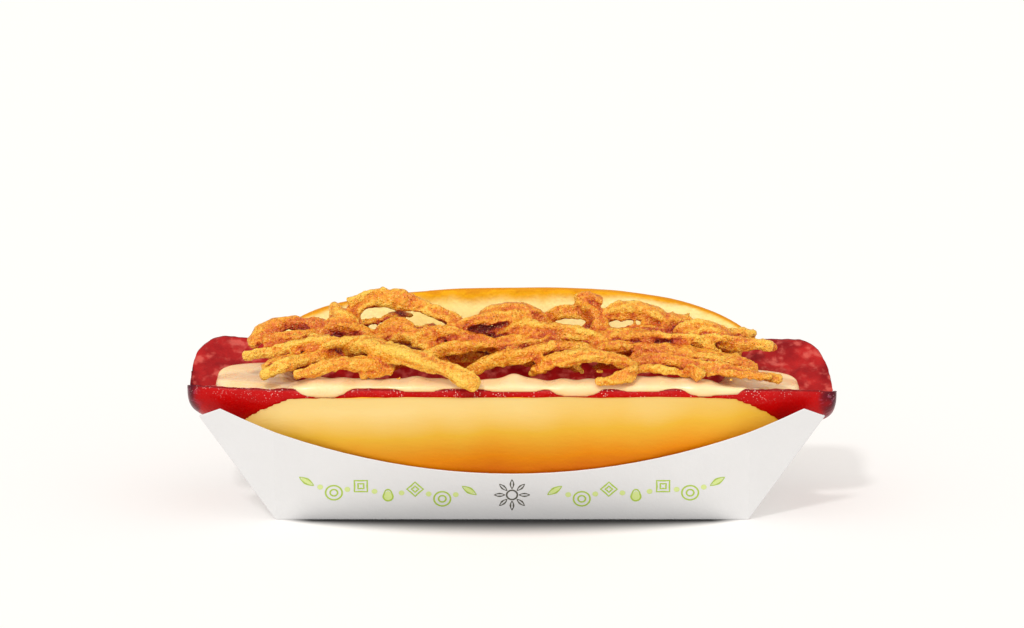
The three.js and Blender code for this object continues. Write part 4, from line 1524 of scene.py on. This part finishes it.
    def tube(self, string: OnionString, number: int) -> bpy.types.Object:
        """Return one string as a craggy, grooved ribbon with a ragged fin.

        Args:
            string: the string's run and thickness.
            number: its number in the heap, which seeds its unevenness.

        Returns:
            The string's mesh, with its tone marked.
        """
        random = np.random.default_rng(number)
        curve = self.path(string)
        length = np.linalg.norm(np.diff(curve, axis=0), axis=1).sum()
        columns = max(14, round(length / self.step))
        stations = even_points(curve, np.linspace(0, 1, columns + 1))
        tangents = np.gradient(stations, axis=0)
        tangents /= np.linalg.norm(tangents, axis=1)[:, None]
        sides = np.cross(tangents, (0.05, 0.25, 1))
        sides /= np.linalg.norm(sides, axis=1)[:, None]
        tops = np.cross(sides, tangents)
        phases = random.uniform(0, 2 * math.pi, 8)
        flatness = random.uniform(*self.flatness)
        grooves = random.integers(3, 6)
        twist = random.uniform(-self.twist, self.twist)
        streaks = self.relief(random, columns, 7, 1)
        crags = self.relief(random, columns, 2, 1)
        narrow_ends = [self.free_end if self.is_free(end) else self.thin_end for end in (string.start, string.end)]
        fin_heights = np.maximum(eased(random.normal(size=columns + 1), 1), 0) * self.fin

        def place(u: Points, v: Points) -> Points:
            index = np.rint(u * columns).astype(int)
            side = np.rint(v * self.sides).astype(int) % self.sides
            run = u * length
            thickness = blend(string.thick[0], string.thick[1], u) / 2
            from_end = np.minimum(u, 1 - u) * length
            blunt = np.clip(from_end / (thickness * 0.8), 0, 1)
            swell = 1 + 0.13 * np.sin(run / 4.3 + phases[0]) + 0.08 * np.sin(run / 1.9 + phases[1])
            narrow = blend(narrow_ends[0], narrow_ends[1], np.rint(u))
            swell *= blend(narrow, 1, smoothstep(from_end, 0, self.thinning))
            radius = thickness * np.sqrt(1 - (1 - blunt) ** 2) * swell
            angle = 2 * math.pi * v
            turn = angle + twist * u + phases[2]
            grooved = 0.08 * np.cos(3 * turn + phases[3] + run / 9) + 0.1 * np.cos(grooves * turn + phases[4])
            hills = self.streak * streaks[index, side] + self.crag * crags[index, side]
            from_fin = (turn + 0.6 * np.sin(run / 6 + phases[5])) % (2 * math.pi) - math.pi
            fin = fin_heights[index] * np.exp(-((from_fin / 0.3) ** 2))
            reach = radius * (1 + grooved) + (hills + fin) * blunt
            lean = 0.5 * np.sin(run / 12 + phases[6])
            across, upward = reach * np.cos(angle) * flatness, reach * np.sin(angle) * 1.04
            out = across * np.cos(lean) - upward * np.sin(lean)
            up = across * np.sin(lean) + upward * np.cos(lean)
            return stations[index] + sides[index] * out[:, None] + tops[index] * up[:, None]

        piece = grid_piece(f"string_{number}", columns, self.sides, place)
        close_tube(piece)
        points = read_points(piece)
        push_out(piece, smooth_noise(points, 4.2, number * 2.3) * 0.35 + smooth_noise(points, 1.3, number) * 0.24)
        points = read_points(piece)
        points[:, 1] += SHIFT
        write_points(piece, points)
        set_layer(piece, Layer.TONE, string.tone + smooth_noise(points, 7, number * 1.9) * 0.3)
        return piece

    def crumb(self, number: int, centre: Place, size: float) -> bpy.types.Object:
        """Return a loose bit of batter.

        Args:
            number: its number, which seeds its unevenness.
            centre: its middle.
            size: its largest reach.

        Returns:
            The bit's mesh.
        """
        deselect_all()
        bpy.ops.mesh.primitive_ico_sphere_add(subdivisions=3, radius=size * MM)
        piece = bpy.context.active_object
        ball = read_points(piece)
        stretch = np.array([1.0, 0.7, 0.6])
        lumps = 1 + smooth_noise(ball / size, 0.8, number * 3.7) * 0.7
        write_points(piece, ball * lumps[:, None] * stretch + centre + (0, SHIFT, 0))
        set_layer(piece, Layer.TONE, np.full(len(ball), 0.4))
        return piece

    def fused(self, loose: bpy.types.Object) -> bpy.types.Object:
        """Return the strings run together where they touch, as batter does, with a gritty skin."""
        piece = duplicate(loose, "fried_onion_strings")
        even_skin(piece, self.skin, 1)
        nearest = KDTree(len(loose.data.vertices))
        for i, vertex in enumerate(loose.data.vertices):
            nearest.insert(vertex.co, i)
        nearest.balance()
        tones = np.array([d.value for d in loose.data.attributes[Layer.TONE.value].data])
        points = read_points(piece)
        found = [nearest.find(p)[1] for p in points * MM]
        set_layer(piece, Layer.TONE, tones[found])
        push_out(piece, smooth_noise(points, self.grit_size, 3) * self.grit)
        return piece

    def hills(self, piece: bpy.types.Object) -> Points:
        """Return how far each vertex stands above, or below 0 under, the smoothed surface."""
        smoothed = duplicate(piece, "smoothed_heap")
        apply_modifier(smoothed, "SMOOTH", factor=0.5, iterations=10)
        above = read_points(piece) - read_points(smoothed)
        heights = (above * read_normals(smoothed)).sum(axis=1)
        remove(smoothed)
        return np.clip(heights / heights.std(), -2, 2)

    def build(self) -> bpy.types.Object:
        """Return the finished heap."""
        strings = [*self.shown, *self.behind_strings(), *self.under_strings(), *self.between_strings()]
        tubes = [self.tube(string, i) for i, string in enumerate(strings)]
        bits = [self.crumb(i, centre, size) for i, (centre, size) in enumerate(self.crumbs)]
        loose = join("loose_strings", tubes + bits)
        piece = self.fused(loose)
        remove(loose)
        # The hills and the cover share set the batter's painted highlight and shade.
        set_layer(piece, Layer.HILL, self.hills(piece))
        set_layer(piece, Layer.COVER, hidden_share(piece, self.cover_reach))
        dress(piece, self.finish.material(), Slot.ONION, "fried_onions")
        return piece


# The card tray


class Motif(Enum):
    """Plain motifs of the tray's print."""

    RING = "ring"
    LEAF = "leaf"
    DIAMOND = "diamond"
    DROP = "drop"
    SQUARE = "square"


@dataclass
class CardTray:
    """The tray's solid in its card finish, with a line print on both long walls."""

    wall_lean: float = 0.3125
    base_half_depth: float = 23
    proud: float = 0.04
    fold_radius: float = 0.24
    line: float = 0.46
    motif_radius: float = 2.5
    dot_radius: float = 0.8
    row_height: float = 8
    row_start: float = 8
    row_rise: float = 3.4
    row_reach: float = 60
    stagger: float = 1.4
    emblem_radius: float = 5
    card: CardFinish = field(default_factory=CardFinish)
    green: PrintFinish = PrintFinish("green ink", paint(156, 184, 52), paint(178, 200, 92))
    tint: PrintFinish = PrintFinish("pale green ink", paint(196, 212, 128), paint(204, 214, 154))
    grey: PrintFinish = PrintFinish("dark grey ink", paint(78, 76, 66), paint(104, 102, 92))

    def radius_of(self, motif: Motif, angles: Points) -> Points:
        """Return a motif's outline as a radius at each angle, 1 at its widest."""
        shapes = {
            Motif.RING: np.ones_like(angles),
            Motif.LEAF: (np.abs(np.cos(angles)) ** 1.3 + np.abs(np.sin(angles) / 0.42) ** 1.3) ** (-1 / 1.3),
            Motif.DIAMOND: 1 / (np.abs(np.cos(angles)) + np.abs(np.sin(angles))),
            Motif.DROP: 0.62 + 0.38 * np.maximum(np.sin(angles), 0) ** 5,
            Motif.SQUARE: 0.78 / np.maximum(np.abs(np.cos(angles)), np.abs(np.sin(angles))),
        }
        return shapes[motif]

    def on_wall(self, flat: Points, side: int) -> Points:
        """Return places on a long wall.

        Args:
            flat: places on the flat print, along the wall, up it and out of it.
            side: -1 for the front wall and 1 for the back wall.

        Returns:
            Places in millimetres.
        """
        slope = math.hypot(1, self.wall_lean)
        height = flat[:, 1] / slope
        outward = (self.base_half_depth + self.wall_lean * height) + flat[:, 2] / slope
        z = height - flat[:, 2] * self.wall_lean / slope
        return np.stack([-side * flat[:, 0], side * outward + SHIFT, z], axis=1)

    def drawn(
        self, motif: Motif, centre: tuple[float, float], radius: float, turn: float, side: int, filled: bool = False
    ) -> bpy.types.Object:
        """Return one motif drawn as a line or filled.

        Args:
            motif: which outline.
            centre: its middle, along and up the wall.
            radius: its largest radius.
            turn: how far it is turned, in radians.
            side: -1 for the front wall and 1 for the back wall.
            filled: whether it is filled rather than drawn as a line.

        Returns:
            The motif's thin mesh.
        """

        def place(u: Points, v: Points) -> Points:
            angles = 2 * math.pi * u
            reach = self.radius_of(motif, angles) * radius
            reach = reach * (1 - v) if filled else reach - v * self.line
            x = centre[0] + reach * np.cos(angles + turn)
            y = centre[1] + reach * np.sin(angles + turn)
            return self.on_wall(np.stack([x, y, np.full_like(x, self.proud)], axis=1), side)

        piece = grid_piece(f"{motif.value}_line", 64, 2, place)
        make_active(piece)
        bpy.ops.object.mode_set(mode="EDIT")
        bpy.ops.mesh.select_all(action="SELECT")
        bpy.ops.mesh.remove_doubles(threshold=0.002 * MM)
        bpy.ops.object.mode_set(mode="OBJECT")
        return piece

    def places(self) -> list[tuple[Motif, tuple[float, float], float]]:
        """Return the motif, middle and turn of each line drawing of one wall, in a staggered band."""
        order = [Motif.LEAF, Motif.RING, Motif.DIAMOND, Motif.DROP, Motif.SQUARE, Motif.RING, Motif.LEAF]
        rows = []
        for flank in (-1, 1):
            for i, motif in enumerate(order):
                share = (i + 0.5) / len(order)
                height = self.row_height + self.row_rise * share**2 + self.stagger * (-1) ** i
                turn = flank * math.radians(35) if motif is Motif.LEAF else 0
                rows.append((motif, (flank * blend(self.row_start, self.row_reach, share), height), turn))
        return rows

    def row(self, side: int) -> list[bpy.types.Object]:
        """Return the green line motifs of one wall."""
        lines = []
        for motif, centre, turn in self.places():
            lines.append(self.drawn(motif, centre, self.motif_radius, turn, side))
            if motif in (Motif.RING, Motif.DIAMOND, Motif.SQUARE):
                lines.append(self.drawn(motif, centre, self.motif_radius * 0.5, turn, side))
        return lines

    def tints(self, side: int) -> list[bpy.types.Object]:
        """Return the pale green fills of one wall: inside some motifs, and dots between them."""
        places = self.places()
        inner = self.motif_radius - 1.6 * self.line
        fills = []
        for motif, centre, turn in places:
            if motif in (Motif.LEAF, Motif.DROP):
                fills.append(self.drawn(motif, centre, inner, turn, side, True))
        for (_, (x, y), _), (_, (next_x, next_y), _) in zip(places, places[1:]):
            if next_x * x > 0:
                between = ((x + next_x) / 2, (y + next_y) / 2)
                fills.append(self.drawn(Motif.RING, between, self.dot_radius, 0, side, True))
        return fills

    def emblem(self, side: int) -> list[bpy.types.Object]:
        """Return the dark rosette in the middle of one wall."""
        centre = (0, self.row_height)
        lines = [self.drawn(Motif.RING, centre, self.emblem_radius * 0.34, 0, side)]
        petals = 8
        for i in range(petals):
            turn = i * 2 * math.pi / petals
            reach = self.emblem_radius * 0.68
            middle = (centre[0] + reach * math.cos(turn), centre[1] + reach * math.sin(turn))
            lines.append(self.drawn(Motif.LEAF, middle, self.emblem_radius * 0.32, turn, side))
        return lines

    def shell(self) -> bpy.types.Object:
        """Return the tray as folded card, with its folds and cut edges eased."""
        piece = bpy.data.objects.new("folded_card_tray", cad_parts["card_tray"].data.copy())
        bpy.context.collection.objects.link(piece)
        make_active(piece)
        bpy.ops.object.mode_set(mode="EDIT")
        bpy.ops.mesh.select_all(action="SELECT")
        bpy.ops.mesh.remove_doubles(threshold=0.01 * MM)
        bpy.ops.mesh.dissolve_limited(angle_limit=math.radians(0.5))
        bpy.ops.object.mode_set(mode="OBJECT")
        fold = {"limit_method": "ANGLE", "angle_limit": math.radians(12)}
        apply_modifier(piece, "BEVEL", width=self.fold_radius * MM, segments=3, **fold)
        apply_modifier(piece, "TRIANGULATE")
        return piece

    def build(self) -> None:
        """Dress the tray and print it."""
        shell = self.shell()
        dress(shell, self.card.material(), Slot.CARD, "card_tray")
        bpy.ops.object.shade_flat()
        green, tint, grey = self.green.material(), self.tint.material(), self.grey.material()
        for side, wall in ((-1, "front"), (1, "back")):
            dress(join(f"green_print_{wall}", self.row(side)), green, Slot.CARD)
            dress(join(f"pale_print_{wall}", self.tints(side)), tint, Slot.CARD)
            dress(join(f"grey_print_{wall}", self.emblem(side)), grey, Slot.CARD)


# The studio


@dataclass
class Studio:
    """A pale floor, a key light from the upper left in front, and the camera."""

    target: Place = (0, -22.8, 57.76)
    distance: float = 1553
    elevation: float = math.radians(12)
    lens: float = 200
    sensor: float = 36
    key_travel: Place = (20, 60, -55)
    key_energy: float = 1.2
    key_softness: float = math.radians(6)
    sky_front: float = 1.3
    sky_back: float = 0.55
    floor_glow: float = 0.34
    base_half_length: float = 65
    base_half_depth: float = 23
    contact_shadow_reach: float = 22

    def camera(self) -> None:
        """Place the camera at the photograph's angle."""
        back = Vector((0, -math.cos(self.elevation), math.sin(self.elevation)))
        place = (Vector(self.target) + back * self.distance) * MM
        deselect_all()
        bpy.ops.object.camera_add(location=place, rotation=(math.pi / 2 - self.elevation, 0, 0))
        camera = bpy.context.active_object
        camera.data.lens = self.lens
        camera.data.sensor_width = self.sensor
        camera.data.clip_start = 0.01
        bpy.context.scene.camera = camera

    def lights(self) -> None:
        """Add the key light and a sky that is brighter in front."""
        deselect_all()
        bpy.ops.object.light_add(type="SUN", location=(-0.5, -1, 1))
        key = bpy.context.active_object
        key.rotation_euler = Vector(self.key_travel).to_track_quat("-Z", "Y").to_euler()
        key.data.energy = self.key_energy
        key.data.angle = self.key_softness
        world = bpy.data.worlds.new("studio")
        world.use_nodes = True
        tree = world.node_tree
        seen = add_node(tree, "ShaderNodeLightPath").outputs["Is Camera Ray"]
        background = tree.nodes["Background"]
        background.inputs["Color"].default_value = paint(255, 252, 249)
        way = add_node(tree, "ShaderNodeTexCoord").outputs["Generated"]
        y = add_node(tree, "ShaderNodeSeparateXYZ", {0: way}).outputs["Y"]
        sky = ranged(tree, y, -1, 1, (self.sky_front, self.sky_back))
        strength = add_node(tree, "ShaderNodeMix", {0: seen, 2: sky, 3: 1.0}).outputs[0]
        tree.links.new(strength, background.inputs["Strength"])
        bpy.context.scene.world = world
        bpy.context.scene.view_settings.view_transform = "Standard"

    def contact_shadow(self, tree: bpy.types.NodeTree, place: Socket) -> Socket:
        """Return how dark the floor is close along the tray's base, most of all in its middle.

        Args:
            tree: the floor's tree.
            place: the place on the floor.

        Returns:
            A share from 0 to 1.
        """
        x, y, _ = add_node(tree, "ShaderNodeSeparateXYZ", {0: place}).outputs
        along = math_node(tree, "DIVIDE", x, self.base_half_length * MM)
        left = math_node(tree, "SUBTRACT", 1.0, math_node(tree, "POWER", math_node(tree, "ABSOLUTE", along), 2.0))
        reach = math_node(tree, "MULTIPLY", math_node(tree, "MAXIMUM", left, 0.001), self.contact_shadow_reach * MM)
        off = math_node(tree, "ABSOLUTE", math_node(tree, "SUBTRACT", y, SHIFT * MM))
        off = math_node(tree, "DIVIDE", math_node(tree, "SUBTRACT", off, self.base_half_depth * MM), reach)
        return math_node(tree, "MULTIPLY", ranged(tree, off, 0.06, 1.0, (1, 0)), ranged(tree, left, 0, 0.3))

    def floor(self) -> None:
        """Add the floor."""
        deselect_all()
        bpy.ops.mesh.primitive_plane_add(size=12)
        floor = bpy.context.active_object
        floor.name = "studio_floor"
        material, tree, principled = shader("studio floor")
        place = object_place(tree)
        cloud = effect(tree, EFFECTS.patches, Vector=place, Size=0.4, Contrast=0.2)
        colour = mixed(tree, cloud, paint(204, 202, 200), paint(202, 200, 198))
        # Painted contact shadow: the floor's glow and colour go dark close along the tray's base.
        contact_shadow = self.contact_shadow(tree, place)
        glow = mixed(tree, contact_shadow, paint(255, 251, 247), paint(0, 0, 0))
        principled.inputs["Roughness"].default_value = 0.9
        principled.inputs["Emission Strength"].default_value = self.floor_glow
        wire(tree, principled, Base_Color=mixed(tree, contact_shadow, colour, paint(8, 7, 6)), Emission_Color=glow)
        floor.data.materials.append(material)


def main() -> None:
    logging.basicConfig(level=logging.INFO, format="%(name)s: %(message)s")
    CardTray().build()
    sausage = SplitSausage()
    SoftRoll(sausage).build()
    sausage.build()
    PaleSauce(sausage).build()
    FriedOnions().build()
    studio = Studio()
    studio.camera()
    studio.lights()
    studio.floor()


if __name__ == "__main__":
    main()
